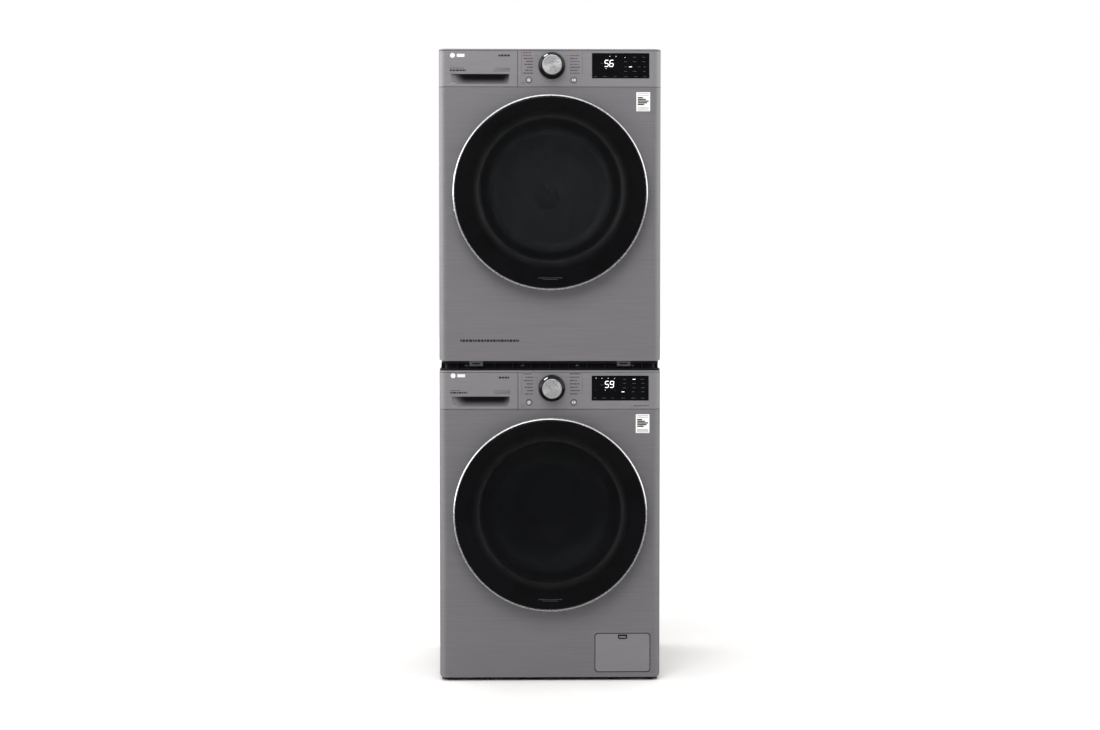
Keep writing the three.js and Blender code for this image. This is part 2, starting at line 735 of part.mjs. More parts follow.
// The drain pump: the filter's socket, the pump body and the pipe that leaves through the rear panel.
function drainPump() {
  const { x, z, socket } = FILTER;
  const body = turned([[0, -192], [42, -192], [42, -130], [28, -124], [28, -90], [0, -90]], x, z, 24);
  const barrel = turned(tube(socket, socket + 4, [-275, -190]), x, z, 24);
  const elbow = box([x, DRAIN.x], [-180, -158], [z + 10, z + 34]);
  return join(body, barrel, elbow, rod(DRAIN.radius, [-170, 284], DRAIN.x, DRAIN.z, 16));
}

function drainFilter() {
  const { x, z, socket } = FILTER;
  const plug = turned(
    [
      [0, -272],
      [socket - 1.5, -272],
      [socket - 1.5, -258],
      [socket - 6, -256],
      [socket - 6, -198],
      [0, -198],
    ],
    x,
    z,
    24,
  );
  const grip = box([x - 22, x + 22], [-279, -271], [z - 4, z + 4]);
  return join(plug, grip);
}

function filterFlap() {
  const { left, right, bottom, top, corner, thickness } = FLAP;
  const outline = roundedRectangle([left, right], [bottom, top], Array(4).fill(corner));
  const face = deep(outline, [FRONT, FRONT + thickness]);
  const lug = (x) => box([x, x + 10], [FRONT + thickness - 0.5, FRONT + 13], [bottom + 3, bottom + 13]);
  const fingerHole = box([185.5, 210.5], [FRONT - 1, FRONT + 5], [113.6, 126]);
  return cut(join(face, lug(left + 17), lug(right - 27)), fingerHole);
}

// ---- Stacking frame ---------------------------------------------------------------------------------

// Three stacked rings: a wide flange on the washer, a recessed web, and the flange that carries the dryer.
function stackingFrame() {
  const low = WASHER.top + GAP;
  const high = DRYER.bottom - GAP;
  const level = (half, [y0, y1], heights, corner) =>
    raised(roundedRectangle([-half, half], [y0, y1], Array(4).fill(corner)), heights, 4);
  return cut(
    join(
      level(299, [FRONT + 1.5, 262], [low, low + 4], 20),
      level(285, [FRONT + 18, 252], [low + 3, high - 5], 12),
      level(294, [FRONT + 4, 258], [high - 6, high], 16),
    ),
    level(256, [-240, 214], [low - 1, high + 1], 10),
  );
}

// ---- Dryer ------------------------------------------------------------------------------------------

function dryerBase() {
  const low = DRYER.bottom + 0.5;
  const floorPlan = (inset, corner) =>
    roundedRectangle([-296 + inset, 296 - inset], [FRONT + 6 + inset, DRYER.rear - 3 - inset], corner);
  const tray = cut(
    raised(floorPlan(0, [22, 22, 6, 6]), [low, low + 34]),
    raised(floorPlan(4, [18, 18, 2, 2]), [low + 4, low + 35]),
  );
  const foot = (x, y) => post(15, [WASHER.top + GAP, low + 1], x, y, 16);
  const feet = [foot(-236, -215), foot(236, -215), foot(-236, 188), foot(236, 188)];
  const saddle = box([MOTOR.x - 50, MOTOR.x + 50], [85, 175], [low + 3, MOTOR.z - MOTOR.radius - GAP]);
  return join(tray, ...feet, saddle);
}

const rollerCentre = (side) => {
  const reach = DRYER_DRUM.radius + ROLLER.radius + 0.4;
  const angle = THREE.MathUtils.degToRad(ROLLER.angle);
  return [side * reach * Math.sin(angle), DRYER.axisZ - reach * Math.cos(angle)];
};

// The front bulkhead: a plate behind the front panel, the throat that laundry goes through, the lint
// duct below it, the two roller pins, and the shelf that the water tank slides on.
function bulkhead() {
  const z = DRYER.axisZ;
  const plate = box([-294, 294], [-250, -247], [1000, 1612]);
  const rear = DRYER_DRUM.front - 4;
  const throat = rod(THROAT.bore + THROAT.wall, [FRONT + 11, rear], 0, z, 40);
  const sealFace = rod(THROAT.face, [rear - 4, rear], 0, z, 40);
  const [width, depth] = [LINT.halfWidth + 6, [LINT.front - 6, LINT.back + 6]];
  const duct = box([-width, width], depth, [z - 275, z - 140]);
  const pinEnds = [-248, ROLLER.front + ROLLER.width + 4];
  const pins = [-1, 1].map((side) => rod(ROLLER.pin, pinEnds, ...rollerCentre(side), 12));
  const shelf = box([-293, -90], [-250, 136], [1614, 1617]);
  const shelfRoot = box([-293, -90], [-250, -247], [1600, 1617]);
  return cut(
    join(plate, throat, sealFace, duct, ...pins, shelf, shelfRoot),
    rod(THROAT.bore, [-300, -200], 0, z, 40),
    box(
      [-LINT.halfWidth - 2, LINT.halfWidth + 2],
      [LINT.front - 2, LINT.back + 2],
      [z - 271, z - 120],
    ),
  );
}

function lintFilter() {
  const z = DRYER.axisZ;
  const body = cut(
    box([-LINT.halfWidth, LINT.halfWidth], [LINT.front, LINT.back], [z + LINT.low, z + LINT.top]),
    rod(THROAT.bore - 1, [-260, -200], 0, z, 40),
  );
  return join(body, box([-34, 34], [LINT.front + 6, LINT.back - 6], [z - 190, z - 168]));
}

function dryerDrum() {
  const { radius, mouth, front, rear, shaft } = DRYER_DRUM;
  const shell = turned(
    [
      [0, rear - 2],
      [radius - 1.2, rear - 2],
      [radius - 1.2, front + 1.2],
      [mouth, front + 1.2],
      [mouth, front],
      [radius, front],
      [radius, rear],
      [shaft, rear],
      [shaft, rear + 76],
      [0, rear + 76],
    ],
    0,
    DRYER.axisZ,
    56,
  );
  return join(
    shell,
    ...LIFTER_ANGLES.map((angle) => lifter(DRYER_DRUM, DRYER.axisZ, angle, 55, [front + 30, rear - 16])),
  );
}

const roller = (side) =>
  turned(
    tube(ROLLER.pin + 0.5, ROLLER.radius, [ROLLER.front, ROLLER.front + ROLLER.width]),
    ...rollerCentre(side),
    24,
  );

const motor = () =>
  cut(
    join(
      rod(MOTOR.radius, [80, 180], MOTOR.x, MOTOR.z, 28),
      rod(24, [66, 196], MOTOR.x, MOTOR.z, 16),
    ),
    rod(8.5, [60, 170], MOTOR.x, MOTOR.z, 16),
  );

// The motor shaft with the belt pulley on it and the process-air fan at its front end.
function blower() {
  const { x, z, pulley, beltY, beltWidth } = MOTOR;
  const shaft = rod(8, [-150, 168], x, z, 16);
  const wheel = turned([[0, -150], [80, -150], [80, -108], [74, -108], [74, -145], [0, -145]], x, z, 28);
  const flanged = turned(
    [
      [0, beltY - 4],
      [pulley + 4, beltY - 4],
      [pulley + 4, beltY - 1],
      [pulley, beltY - 1],
      [pulley, beltY + beltWidth + 1],
      [pulley + 4, beltY + beltWidth + 1],
      [pulley + 4, beltY + beltWidth + 4],
      [0, beltY + beltWidth + 4],
    ],
    x,
    z,
    20,
  );
  return join(shaft, wheel, flanged);
}

// A flat belt: the two outer tangents of the drum and the pulley, and the arcs between them.
function belt() {
  const [dx, dz] = [MOTOR.x, MOTOR.z - DRYER.axisZ];
  const distance = Math.hypot(dx, dz);
  const heading = Math.atan2(dz, dx);
  const loop = (offset) => {
    const big = DRYER_DRUM.radius + offset;
    const small = MOTOR.pulley + offset;
    const spread = Math.acos((big - small) / distance);
    const path = new THREE.Shape();
    path.absarc(0, DRYER.axisZ, big, heading + spread, heading - spread + 2 * Math.PI);
    path.absarc(MOTOR.x, MOTOR.z, small, heading - spread, heading + spread);
    return path;
  };
  const y = [MOTOR.beltY, MOTOR.beltY + MOTOR.beltWidth];
  return cut(deep(loop(0.9 + MOTOR.belt), y, 20), deep(loop(0.9), [y[0] - 1, y[1] + 1], 20));
}

// The refrigerant circuit is brazed into one piece: compressor, two coils and the pipes between them.
function heatPump() {
  const floor = DRYER.bottom + 5;
  const { x, y, flange, can, height } = COMPRESSOR;
  const compressor = upright(
    [
      [0, floor],
      [flange, floor],
      [flange, floor + 12],
      [can, floor + 18],
      [can, floor + height - 22],
      [30, floor + height - 4],
      [0, floor + height],
    ],
    x,
    y,
    24,
  );
  const coil = (start) => box(COIL.x, [start, start + COIL.depth], [floor, floor + COIL.height]);
  const pipes = [
    box([-30, -18], [-40, 20], [floor + 60, floor + 72]),
    rod(6, [-60, 162], -112, floor + 98, 12),
    box([x, -108], [152, 164], [floor + 92, floor + 104]),
  ];
  return join(compressor, ...COIL.fronts.map(coil), ...pipes);
}

// ---- Assembly ---------------------------------------------------------------------------------------

place("washer_cabinet", washerCabinet(), "graphite");
place("dryer_cabinet", dryerCabinet(), "graphite");
place("washer_front_panel", washerFront(), "graphite");
place("dryer_front_panel", dryerFront(), "graphite");

for (const machine of [WASHER, DRYER]) {
  const { name } = machine;
  place(`${name}_top_panel`, topPanel(machine), "topCoat");
  place(`${name}_console`, consoleCover(machine), "graphite");
  place(`${name}_display`, displayModule(machine), "blackGlass");
  place(`${name}_knob`, knob(machine), "blackPlastic");
  place(`${name}_power_button`, button(machine, BUTTON.power), "graphite");
  place(`${name}_start_button`, button(machine, BUTTON.start), "graphite");
  place(`${name}_door_ring`, doorRing(machine), "chrome");
  place(`${name}_door_glass`, doorGlass(machine), "blackGlass");
  place(`${name}_door_frame`, doorFrame(machine), "blackPlastic");
  place(`${name}_hinge_bracket`, hingeBracket(machine), "galvanised");
}

place("washer_door_bowl", washerBowl(), "bowlGlass");
place("washer_drawer_front", drawerFront(WASHER), "graphite");
place("washer_drawer_tray", detergentTray(), "whitePlastic");
place("washer_dispenser", dispenser(), "whitePlastic");
place("washer_gasket", washerGasket(), "rubber");
place("washer_tub", tub(), "greyPlastic");
place("washer_counterweight", counterweight(), "concrete");
place("washer_drum", washerDrum(), "steel");
place("washer_stator", stator(), "copper");
place("washer_rotor", rotor(), "galvanised");
for (const [side, word] of [[-1, "left"], [1, "right"]]) {
  place(`washer_spring_${word}`, spring(side), "galvanised");
  place(`washer_damper_${word}`, damperRod(side), "galvanised");
  place(`dryer_roller_${word}`, roller(side), "rubber");
}
place("washer_base", washerBase(), "blackPlastic");
for (const [word, x, y] of footPlaces) {
  place(`washer_foot_${word}`, levellingFoot(x, y), "greyPlastic");
}
place("washer_drain_pump", drainPump(), "blackPlastic");
place("washer_drain_filter", drainFilter(), "whitePlastic");
place("washer_filter_flap", filterFlap(), "graphite");

place("stacking_frame", stackingFrame(), "blackPlastic");

place("dryer_door_bowl", dryerBowl(), "bowlGlass");
place("dryer_tank_front", drawerFront(DRYER), "graphite");
place("dryer_tank", waterTank(), "whitePlastic");
place("dryer_base", dryerBase(), "blackPlastic");
place("dryer_bulkhead", bulkhead(), "greyPlastic");
place("dryer_lint_filter", lintFilter(), "greyPlastic");
place("dryer_drum", dryerDrum(), "steel");
place("dryer_motor", motor(), "galvanised");
place("dryer_blower", blower(), "blackPlastic");
place("dryer_belt", belt(), "rubber");
place("dryer_heat_pump", heatPump(), "copper");

export default stack;
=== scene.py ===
import math
import random

import bmesh
import bpy
from mathutils import Matrix, Vector


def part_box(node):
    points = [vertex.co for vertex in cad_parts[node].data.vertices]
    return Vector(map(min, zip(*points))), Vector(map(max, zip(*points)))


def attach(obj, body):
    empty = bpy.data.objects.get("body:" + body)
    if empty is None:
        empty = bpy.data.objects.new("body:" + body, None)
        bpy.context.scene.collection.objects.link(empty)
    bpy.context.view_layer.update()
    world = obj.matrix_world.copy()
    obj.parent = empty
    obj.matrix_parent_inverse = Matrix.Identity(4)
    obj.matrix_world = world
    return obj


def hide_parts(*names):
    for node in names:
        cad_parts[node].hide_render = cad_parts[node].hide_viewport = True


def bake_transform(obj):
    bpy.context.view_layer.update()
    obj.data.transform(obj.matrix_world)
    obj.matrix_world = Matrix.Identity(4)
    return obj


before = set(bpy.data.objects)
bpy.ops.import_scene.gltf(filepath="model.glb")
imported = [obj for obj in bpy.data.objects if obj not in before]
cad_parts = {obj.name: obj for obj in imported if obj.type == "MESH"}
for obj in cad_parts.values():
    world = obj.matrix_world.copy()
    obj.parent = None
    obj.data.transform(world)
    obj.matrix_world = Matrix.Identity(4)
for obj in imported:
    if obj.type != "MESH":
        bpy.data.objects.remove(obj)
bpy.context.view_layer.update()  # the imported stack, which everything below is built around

# Lengths below are millimetres until makePiece scales them. +Z is up and the fronts face -Y.


def edges(node):  # a part's sides, as low and high pairs
    low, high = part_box(node)
    return {axis: (low[i] * 1000, high[i] * 1000) for i, axis in enumerate("xyz")}


def middle(node, axis):
    return sum(edges(node)[axis]) / 2


seam = 1.2  # visible joint between front pieces
half = edges("washer_top_panel")["x"][1]  # half the width of both machines
front = edges("washer_top_panel")["y"][0]  # outer face of the front panels
wrapEnd = edges("washer_console")["y"][1]  # where the front mouldings stop round the side
sheet = 1.2
corner = 22  # radius of the upright front corners
rearCorner = 8


def machineSizes(name):
    board = edges(name + "_top_panel")
    return {
        "name": name,
        "low": edges(name + "_cabinet")["z"][0] - 2,
        "split": edges(name + "_console")["z"][0] - seam / 2,
        "board": board["z"][0],
        "top": board["z"][1],
        "rear": board["y"][1],
        "doorZ": middle(name + "_door_glass", "z"),
        "axisZ": middle(name + "_drum", "z"),
    }


washer = machineSizes("washer")
dryer = machineSizes("dryer")
machines = (washer, dryer)

# outlines and solids


def arc(centre, radius, start, stop, steps=8):  # points from one angle to another, in degrees
    turn = [math.radians(start + (stop - start) * i / steps) for i in range(steps + 1)]
    return [(centre[0] + radius * math.cos(a), centre[1] + radius * math.sin(a)) for a in turn]


def roundedBox(u, v, radii, steps=6):  # radii from the low left corner, anticlockwise
    radii = radii if isinstance(radii, (list, tuple)) else [radii] * 4
    points = []
    for k, radius in enumerate(radii):
        cornerU, cornerV = u[k in (1, 2)], v[k in (2, 3)]
        inU = cornerU - radius if k in (1, 2) else cornerU + radius
        inV = cornerV - radius if k in (2, 3) else cornerV + radius
        if radius:
            points += arc((inU, inV), radius, 180 + 90 * k, 270 + 90 * k, steps)
        else:
            points.append((cornerU, cornerV))
    return points


def toSpace(axis, u, v, w):  # an outline's two directions and the way it runs
    return {"x": (w, u, v), "y": (u, w, v), "z": (u, v, w)}[axis]


def prism(outline, ends, axis="y"):
    bm = bmesh.new()
    rings = [[bm.verts.new(toSpace(axis, u, v, w)) for u, v in outline] for w in ends]
    for i in range(len(outline)):
        bm.faces.new((rings[0][i - 1], rings[0][i], rings[1][i], rings[1][i - 1]))
    bm.faces.new(rings[0])
    bm.faces.new(rings[1])
    bmesh.ops.recalc_face_normals(bm, faces=bm.faces)
    return bm


def block(x, y, z):
    return prism(roundedBox(x, y, 0), z, "z")


def lathe(profile, centre, steps=96, axis="y", ribs=0, ribDepth=0.0):  # (radius, along) points
    bm = bmesh.new()
    columns = []
    for k in range(steps):
        angle = 2 * math.pi * k / steps
        swell = 1 + ribDepth * math.cos(ribs * angle)
        place = [(centre[0] + r * swell * math.sin(angle), centre[1] + r * swell * math.cos(angle), w)
            for r, w in profile]
        columns.append([bm.verts.new(toSpace(axis, *p)) for p in place])
    onAxis = profile[0][0] == 0 and profile[-1][0] == 0
    for k in range(steps):
        for i in range(1 if onAxis else 0, len(profile)):
            bm.faces.new((columns[k - 1][i - 1], columns[k][i - 1], columns[k][i], columns[k - 1][i]))
    bmesh.ops.remove_doubles(bm, verts=bm.verts, dist=1e-4)
    bmesh.ops.recalc_face_normals(bm, faces=bm.faces)
    return bm


def rod(radius, ends, centre, steps=32, axis="y"):
    return lathe([(0, ends[0]), (radius, ends[0]), (radius, ends[1]), (0, ends[1])], centre, steps, axis)


def pipe(inner, outer, ends, centre, steps=64, axis="y"):
    ring = [(inner, ends[0]), (outer, ends[0]), (outer, ends[1]), (inner, ends[1])]
    return lathe(ring, centre, steps, axis)


def curved(points, each=6):  # a smooth line through the points
    line = []
    for i in range(len(points) - 1):
        p = [Vector(points[max(0, min(len(points) - 1, i + k))]) for k in (-1, 0, 1, 2)]
        for s in range(each):
            t = s / each
            line.append(tuple(0.5 * (2 * p[1] + (p[2] - p[0]) * t + (2 * p[0] - 5 * p[1] + 4 * p[2] - p[3])
                * t * t + (3 * p[1] - p[0] - 3 * p[2] + p[3]) * t * t * t)))
    return line + [tuple(points[-1])]


def sweep(path, radius, sides=12, closed=False):  # a round bar along a line in space
    bm = bmesh.new()
    line = [Vector(p) for p in path]
    rings = []
    side = None
    for i, point in enumerate(line):
        ahead = line[(i + 1) % len(line)] if closed or i + 1 < len(line) else point
        behind = line[i - 1] if closed or i else point
        heading = (ahead - behind).normalized()
        if side is None:
            side = heading.orthogonal().normalized()
        side = (side - heading * side.dot(heading)).normalized()
        up = heading.cross(side)
        turn = [2 * math.pi * k / sides for k in range(sides)]
        rings.append([bm.verts.new(point + radius * (side * math.cos(a) + up * math.sin(a))) for a in turn])
    for i in range(0 if closed else 1, len(rings)):
        for k in range(sides):
            bm.faces.new((rings[i - 1][k - 1], rings[i - 1][k], rings[i][k], rings[i][k - 1]))
    if not closed:
        bm.faces.new(rings[0])
        bm.faces.new(rings[-1])
    bmesh.ops.recalc_face_normals(bm, faces=bm.faces)
    return bm


def together(*parts):  # several closed bodies in one mesh
    whole = bmesh.new()
    for part in parts:
        mesh = bpy.data.meshes.new("part")
        part.to_mesh(mesh)
        part.free()
        whole.from_mesh(mesh)
        bpy.data.meshes.remove(mesh)
    return whole


def carve(body, *tools, how="DIFFERENCE"):  # an exact boolean with each tool in turn
    held = []
    for bm in (body, *tools):
        mesh = bpy.data.meshes.new("carving")
        bm.to_mesh(mesh)
        bm.free()
        held.append(bpy.data.objects.new("carving", mesh))
        bpy.context.scene.collection.objects.link(held[-1])
    for tool in held[1:]:
        modifier = held[0].modifiers.new("carve", "BOOLEAN")
        modifier.operation = how
        modifier.solver = "EXACT"
        modifier.object = tool
    bpy.context.view_layer.update()
    made = bmesh.new()
    made.from_object(held[0], bpy.context.evaluated_depsgraph_get())
    for thing in held:
        mesh = thing.data
        bpy.data.objects.remove(thing)
        bpy.data.meshes.remove(mesh)
    bmesh.ops.dissolve_degenerate(made, dist=1e-4, edges=made.edges)
    return made


def moved(bm, matrix):
    bmesh.ops.transform(bm, matrix=matrix, verts=bm.verts)
    return bm


def turnedAbout(bm, degrees, centre):  # about the Y line through centre = (x, z), clockwise from the front
    place = Matrix.Translation((centre[0], 0, centre[1]))
    return moved(bm, place @ Matrix.Rotation(math.radians(degrees), 4, "Y") @ place.inverted())


def makePiece(name, bm, material, body, replaced=(), bevel=0.0, rounds=2, smooth=32, stretch=None):
    # stretch: given for rubber or sprung pieces; then the piece is left in place and rides on no body, and
    # its two points in mm are not used
    bmesh.ops.recalc_face_normals(bm, faces=bm.faces)
    bmesh.ops.scale(bm, vec=(0.001, 0.001, 0.001), verts=bm.verts)
    mesh = bpy.data.meshes.new(name)
    bm.to_mesh(mesh)
    bm.free()
    mesh.shade_smooth()
    mesh.set_sharp_from_angle(angle=math.radians(smooth))
    mesh.materials.append(material)
    piece = bpy.data.objects.new(name, mesh)
    bpy.context.scene.collection.objects.link(piece)
    if bevel:
        soft = piece.modifiers.new("softEdges", "BEVEL")
        soft.width = bevel / 1000
        soft.segments = rounds
        soft.limit_method = "ANGLE"
        soft.angle_limit = math.radians(smooth)
        soft.harden_normals = True
    if stretch:
        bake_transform(piece)
    else:
        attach(piece, body)
    if replaced:
        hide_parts(*replaced)
    return piece


def copyOf(node):  # a part's own mesh in millimetres, with its split corners joined again
    bm = bmesh.new()
    bm.from_mesh(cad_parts[node].data)
    bmesh.ops.scale(bm, vec=(1000, 1000, 1000), verts=bm.verts)
    bmesh.ops.remove_doubles(bm, verts=bm.verts, dist=2e-3)
    bmesh.ops.dissolve_limit(bm, angle_limit=math.radians(0.6), verts=bm.verts, edges=bm.edges)
    return bm


# materials


def linear(code):  # sRGB hex to linear colour
    channels = [int(code[i:i + 2], 16) / 255 for i in (0, 2, 4)]
    return [c / 12.92 if c <= 0.04045 else ((c + 0.055) / 1.055) ** 2.4 for c in channels] + [1.0]


def addNode(tree, kind, settings=None, inputs=None):
    node = tree.nodes.new(kind)
    for key, value in (settings or {}).items():
        if key == "stops":
            for i, (place, code) in enumerate(value):
                stop = node.color_ramp.elements[i] if i < 2 else node.color_ramp.elements.new(place)
                stop.position = place
                stop.color = linear(code) if isinstance(code, str) else (code, code, code, 1)
        else:
            setattr(node, key, value)
    for key, value in (inputs or {}).items():
        if isinstance(value, bpy.types.NodeSocket):
            tree.links.new(value, node.inputs[key])
        else:
            node.inputs[key].default_value = value
    return node


def startMaterial(name, base, roughness, sockets=None):
    material = bpy.data.materials.new(name)
    material.use_nodes = True
    tree = material.node_tree
    shader = tree.nodes["Principled BSDF"]
    shader.inputs["Base Color"].default_value = linear(base)
    shader.inputs["Roughness"].default_value = roughness
    for key, value in (sockets or {}).items():
        shader.inputs[key].default_value = value
    metres = addNode(tree, "ShaderNodeTexCoord").outputs["Object"]
    scaled = addNode(tree, "ShaderNodeVectorMath", {"operation": "SCALE"}, {0: metres, "Scale": 1000.0})
    return {"material": material, "tree": tree, "shader": shader, "mm": scaled.outputs[0]}


def addGrain(kit, spacing, relief, tones=None, rough=None, stretch=(1, 1, 1), detail=3.0):
    tree, shader = kit["tree"], kit["shader"]
    scale = [1 / (spacing * s) for s in stretch]
    place = addNode(tree, "ShaderNodeMapping", None, {"Vector": kit["mm"], "Scale": scale})
    grain = addNode(tree, "ShaderNodeTexNoise", None, {"Vector": place.outputs[0], "Scale": 1.0,
        "Detail": detail}).outputs["Fac"]
    if tones:
        ramp = addNode(tree, "ShaderNodeValToRGB", {"stops": [(0.3, tones[0]), (0.7, tones[1])]},
            {"Fac": grain})
        tree.links.new(ramp.outputs["Color"], shader.inputs["Base Color"])
    if rough:
        spread = addNode(tree, "ShaderNodeMapRange", None, {0: grain, 1: 0.3, 2: 0.7, 3: rough[0],
            4: rough[1]})
        tree.links.new(spread.outputs[0], shader.inputs["Roughness"])
    bump = addNode(tree, "ShaderNodeBump", None, {"Height": grain, "Strength": 1.0,
        "Distance": relief / 1000})
    if shader.inputs["Normal"].links:
        tree.links.new(shader.inputs["Normal"].links[0].from_socket, bump.inputs["Normal"])
    tree.links.new(bump.outputs["Normal"], shader.inputs["Normal"])
    return kit


def brushedGraphiteSteel():
    # Steel sheet, brushed and then lacquered graphite: fine level streaks under a satin clear coat.
    # streaks drawn coarse to show
    finish = {"streak": 2.2, "length": 110.0, "dark": "79777a", "light": "807e81"}
    kit = startMaterial("brushedGraphiteSteel", finish["dark"], 0.42, {"Metallic": 0.35,
        "Coat Weight": 0.12, "Coat Roughness": 0.3})
    long = finish["length"] / finish["streak"]
    addGrain(kit, 0.25, 0.003)
    addGrain(kit, finish["streak"], 0.004, (finish["dark"], finish["light"]), (0.38, 0.47), (long, long, 1),
        4.0)
    return kit["material"]


def satinGraphiteAbs():
    # ABS mouldings, sprayed to match the sheet: the same streaks, softer, over a fine moulded texture.
    finish = {"streak": 1.6, "length": 70.0, "dark": "838184", "light": "8a888b"}
    kit = startMaterial("satinGraphiteAbs", finish["dark"], 0.45, {"Metallic": 0.3, "Coat Weight": 0.1,
        "Coat Roughness": 0.35})
    long = finish["length"] / finish["streak"]
    addGrain(kit, 0.3, 0.006)
    addGrain(kit, finish["streak"], 0.004, (finish["dark"], finish["light"]), (0.4, 0.5), (long, long, 1),
        4.0)
    return kit["material"]


def paintedScoopShade():
    # The same spray inside the finger scoops, with painted shade: the colour darkens with depth into the
    # recess, as the shadow under the lip would, with a faint random mottle.
    finish = {"shallow": "7c7a7d", "deep": "262527", "depth": 22.0, "mottle": 0.12}
    kit = startMaterial("scoopGraphiteAbsPaintedShade", finish["shallow"], 0.5, {"Metallic": 0.2})
    tree = kit["tree"]
    depth = addNode(tree, "ShaderNodeSeparateXYZ", None, {0: kit["mm"]})
    grain = addNode(tree, "ShaderNodeTexNoise", None, {"Vector": kit["mm"], "Scale": 0.2, "Detail": 3.0})
    # painted shade: the colour runs from the shallow tone at the front face to the deep tone at the scoop's
    # depth
    share = addNode(tree, "ShaderNodeMapRange", None, {0: depth.outputs["Y"], 1: front,
        2: front + finish["depth"], 3: 0.0, 4: 1.0})
    mottled = addNode(tree, "ShaderNodeMath", {"operation": "MULTIPLY_ADD"},
        {0: grain.outputs["Fac"], 1: finish["mottle"], 2: share.outputs[0]})
    tone = addNode(tree, "ShaderNodeValToRGB", {"stops": [(0.05, finish["shallow"]),
        (0.95, finish["deep"])]}, {"Fac": mottled.outputs[0]})
    tree.links.new(tone.outputs["Color"], kit["shader"].inputs["Base Color"])
    addGrain(kit, 0.5, 0.01, None, (0.46, 0.58))
    return kit["material"]


def satinBlackAbs():
    # ABS from a lightly etched mould: black with a soft, wide highlight.
    kit = startMaterial("satinBlackAbs", "0b0b0c", 0.3, {"IOR": 1.53, "Specular IOR Level": 0.3})
    addGrain(kit, 14.0, 0.0, ("090909", "0e0e0f"), (0.26, 0.36))
    addGrain(kit, 0.6, 0.008)
    return kit["material"]


def mattBlackPolypropylene():
    # Polypropylene from a spark-eroded mould: an even fine pebble that stays dark at every angle.
    kit = startMaterial("mattBlackPolypropylene", "0e0e0f", 0.6, {"IOR": 1.49, "Specular IOR Level": 0.25})
    addGrain(kit, 25.0, 0.0, ("0c0c0d", "131314"), (0.55, 0.66))
    addGrain(kit, 0.9, 0.03)
    return kit["material"]


def greyTabPolypropylene():
    # The same moulding in slate grey, a little lighter where hands rub it. On the dryer's locating tabs the
    # darker grey is painted shade for their recess.
    kit = startMaterial("slatePolypropylene", "3a3a3d", 0.5, {"IOR": 1.49})
    addGrain(kit, 20.0, 0.0, ("343437", "424245"), (0.45, 0.58))
    addGrain(kit, 0.9, 0.03)
    return kit["material"]


def greyPolypropylene():
    # Glass-filled polypropylene: mid grey with faint flow marks and a dry surface.
    kit = startMaterial("glassFilledPolypropylene", "6c6e70", 0.55, {"IOR": 1.49})
    addGrain(kit, 30.0, 0.0, ("66686a", "747678"), (0.5, 0.62), (1, 1, 3))
    addGrain(kit, 1.0, 0.03)
    return kit["material"]


def whitePolypropylene():
    # Unpainted polypropylene: slightly waxy white, with light passing a little way in.
    kit = startMaterial("naturalWhitePolypropylene", "e0e0de", 0.4, {"IOR": 1.49, "Subsurface Weight": 0.08})
    kit["shader"].inputs["Subsurface Scale"].default_value = 0.004
    addGrain(kit, 35.0, 0.0, ("dadad8", "e6e6e4"), (0.36, 0.46))
    addGrain(kit, 1.1, 0.015)
    return kit["material"]


def ribbedRubber():
    # EPDM rubber, mould cured: dusty grey, soft highlight, a faint bloom.
    kit = startMaterial("curedEpdmRubber", "56585a", 0.62, {"Sheen Weight": 0.25, "Sheen Roughness": 0.5})
    addGrain(kit, 16.0, 0.0, ("4f5153", "5f6163"), (0.56, 0.7))
    addGrain(kit, 0.7, 0.02)
    return kit["material"]


def blackRubber():
    # Carbon-filled rubber, vulcanised: near black and dull.
    kit = startMaterial("vulcanisedBlackRubber", "161617", 0.7, {"Sheen Weight": 0.2, "Sheen Roughness": 0.5})
    addGrain(kit, 14.0, 0.0, ("131314", "1d1d1f"), (0.64, 0.78))
    addGrain(kit, 0.8, 0.04)
    return kit["material"]


def satinChrome():
    # ABS plated with chrome, then satin brushed round the ring: a soft bright line, not a mirror.
    kit = startMaterial("satinChromePlate", "e2e2e4", 0.26, {"Metallic": 0.75})
    addGrain(kit, 9.0, 0.003, ("dbdbdd", "e9e9eb"), (0.22, 0.32))
    return kit["material"]


def spunAluminium():
    # Aluminium disc, spun and lacquered: fine rings that pull the highlight into bright wedges.
    finish = {"ring": 0.9, "depth": 0.006}  # real rings are about 0.1 mm apart
    kit = startMaterial("spunAluminium", "e0dfe1", 0.3, {"Metallic": 0.75, "Anisotropic": 0.9})
    tree, shader = kit["tree"], kit["shader"]
    tangent = addNode(tree, "ShaderNodeTangent", {"direction_type": "RADIAL", "axis": "Y"})
    tree.links.new(tangent.outputs["Tangent"], shader.inputs["Tangent"])
    for machine in machines:
        centre = Vector((middle(machine["name"] + "_knob", "x"), 0, middle(machine["name"] + "_knob", "z")))
        away = addNode(tree, "ShaderNodeVectorMath", {"operation": "SUBTRACT"}, {0: kit["mm"], 1: centre})
        flat = addNode(tree, "ShaderNodeVectorMath", {"operation": "MULTIPLY"},
            {0: away.outputs[0], 1: (1, 0, 1)})
        radius = addNode(tree, "ShaderNodeVectorMath", {"operation": "LENGTH"}, {0: flat.outputs[0]})
        machine["ringsFrom"] = radius.outputs["Value"]
    nearer = addNode(tree, "ShaderNodeMath", {"operation": "MINIMUM"}, {0: washer["ringsFrom"],
        1: dryer["ringsFrom"]})
    turns = addNode(tree, "ShaderNodeMath", {"operation": "MULTIPLY"}, {0: nearer.outputs[0],
        1: 2 * math.pi / finish["ring"]})
    wave = addNode(tree, "ShaderNodeMath", {"operation": "SINE"}, {0: turns.outputs[0]})
    bump = addNode(tree, "ShaderNodeBump", None, {"Height": wave.outputs[0], "Strength": 0.6,
        "Distance": finish["depth"] / 1000})
    tree.links.new(bump.outputs["Normal"], shader.inputs["Normal"])
    addGrain(kit, 6.0, 0.0005, ("d8d7d9", "e8e7e9"), (0.26, 0.34))
    return kit["material"]


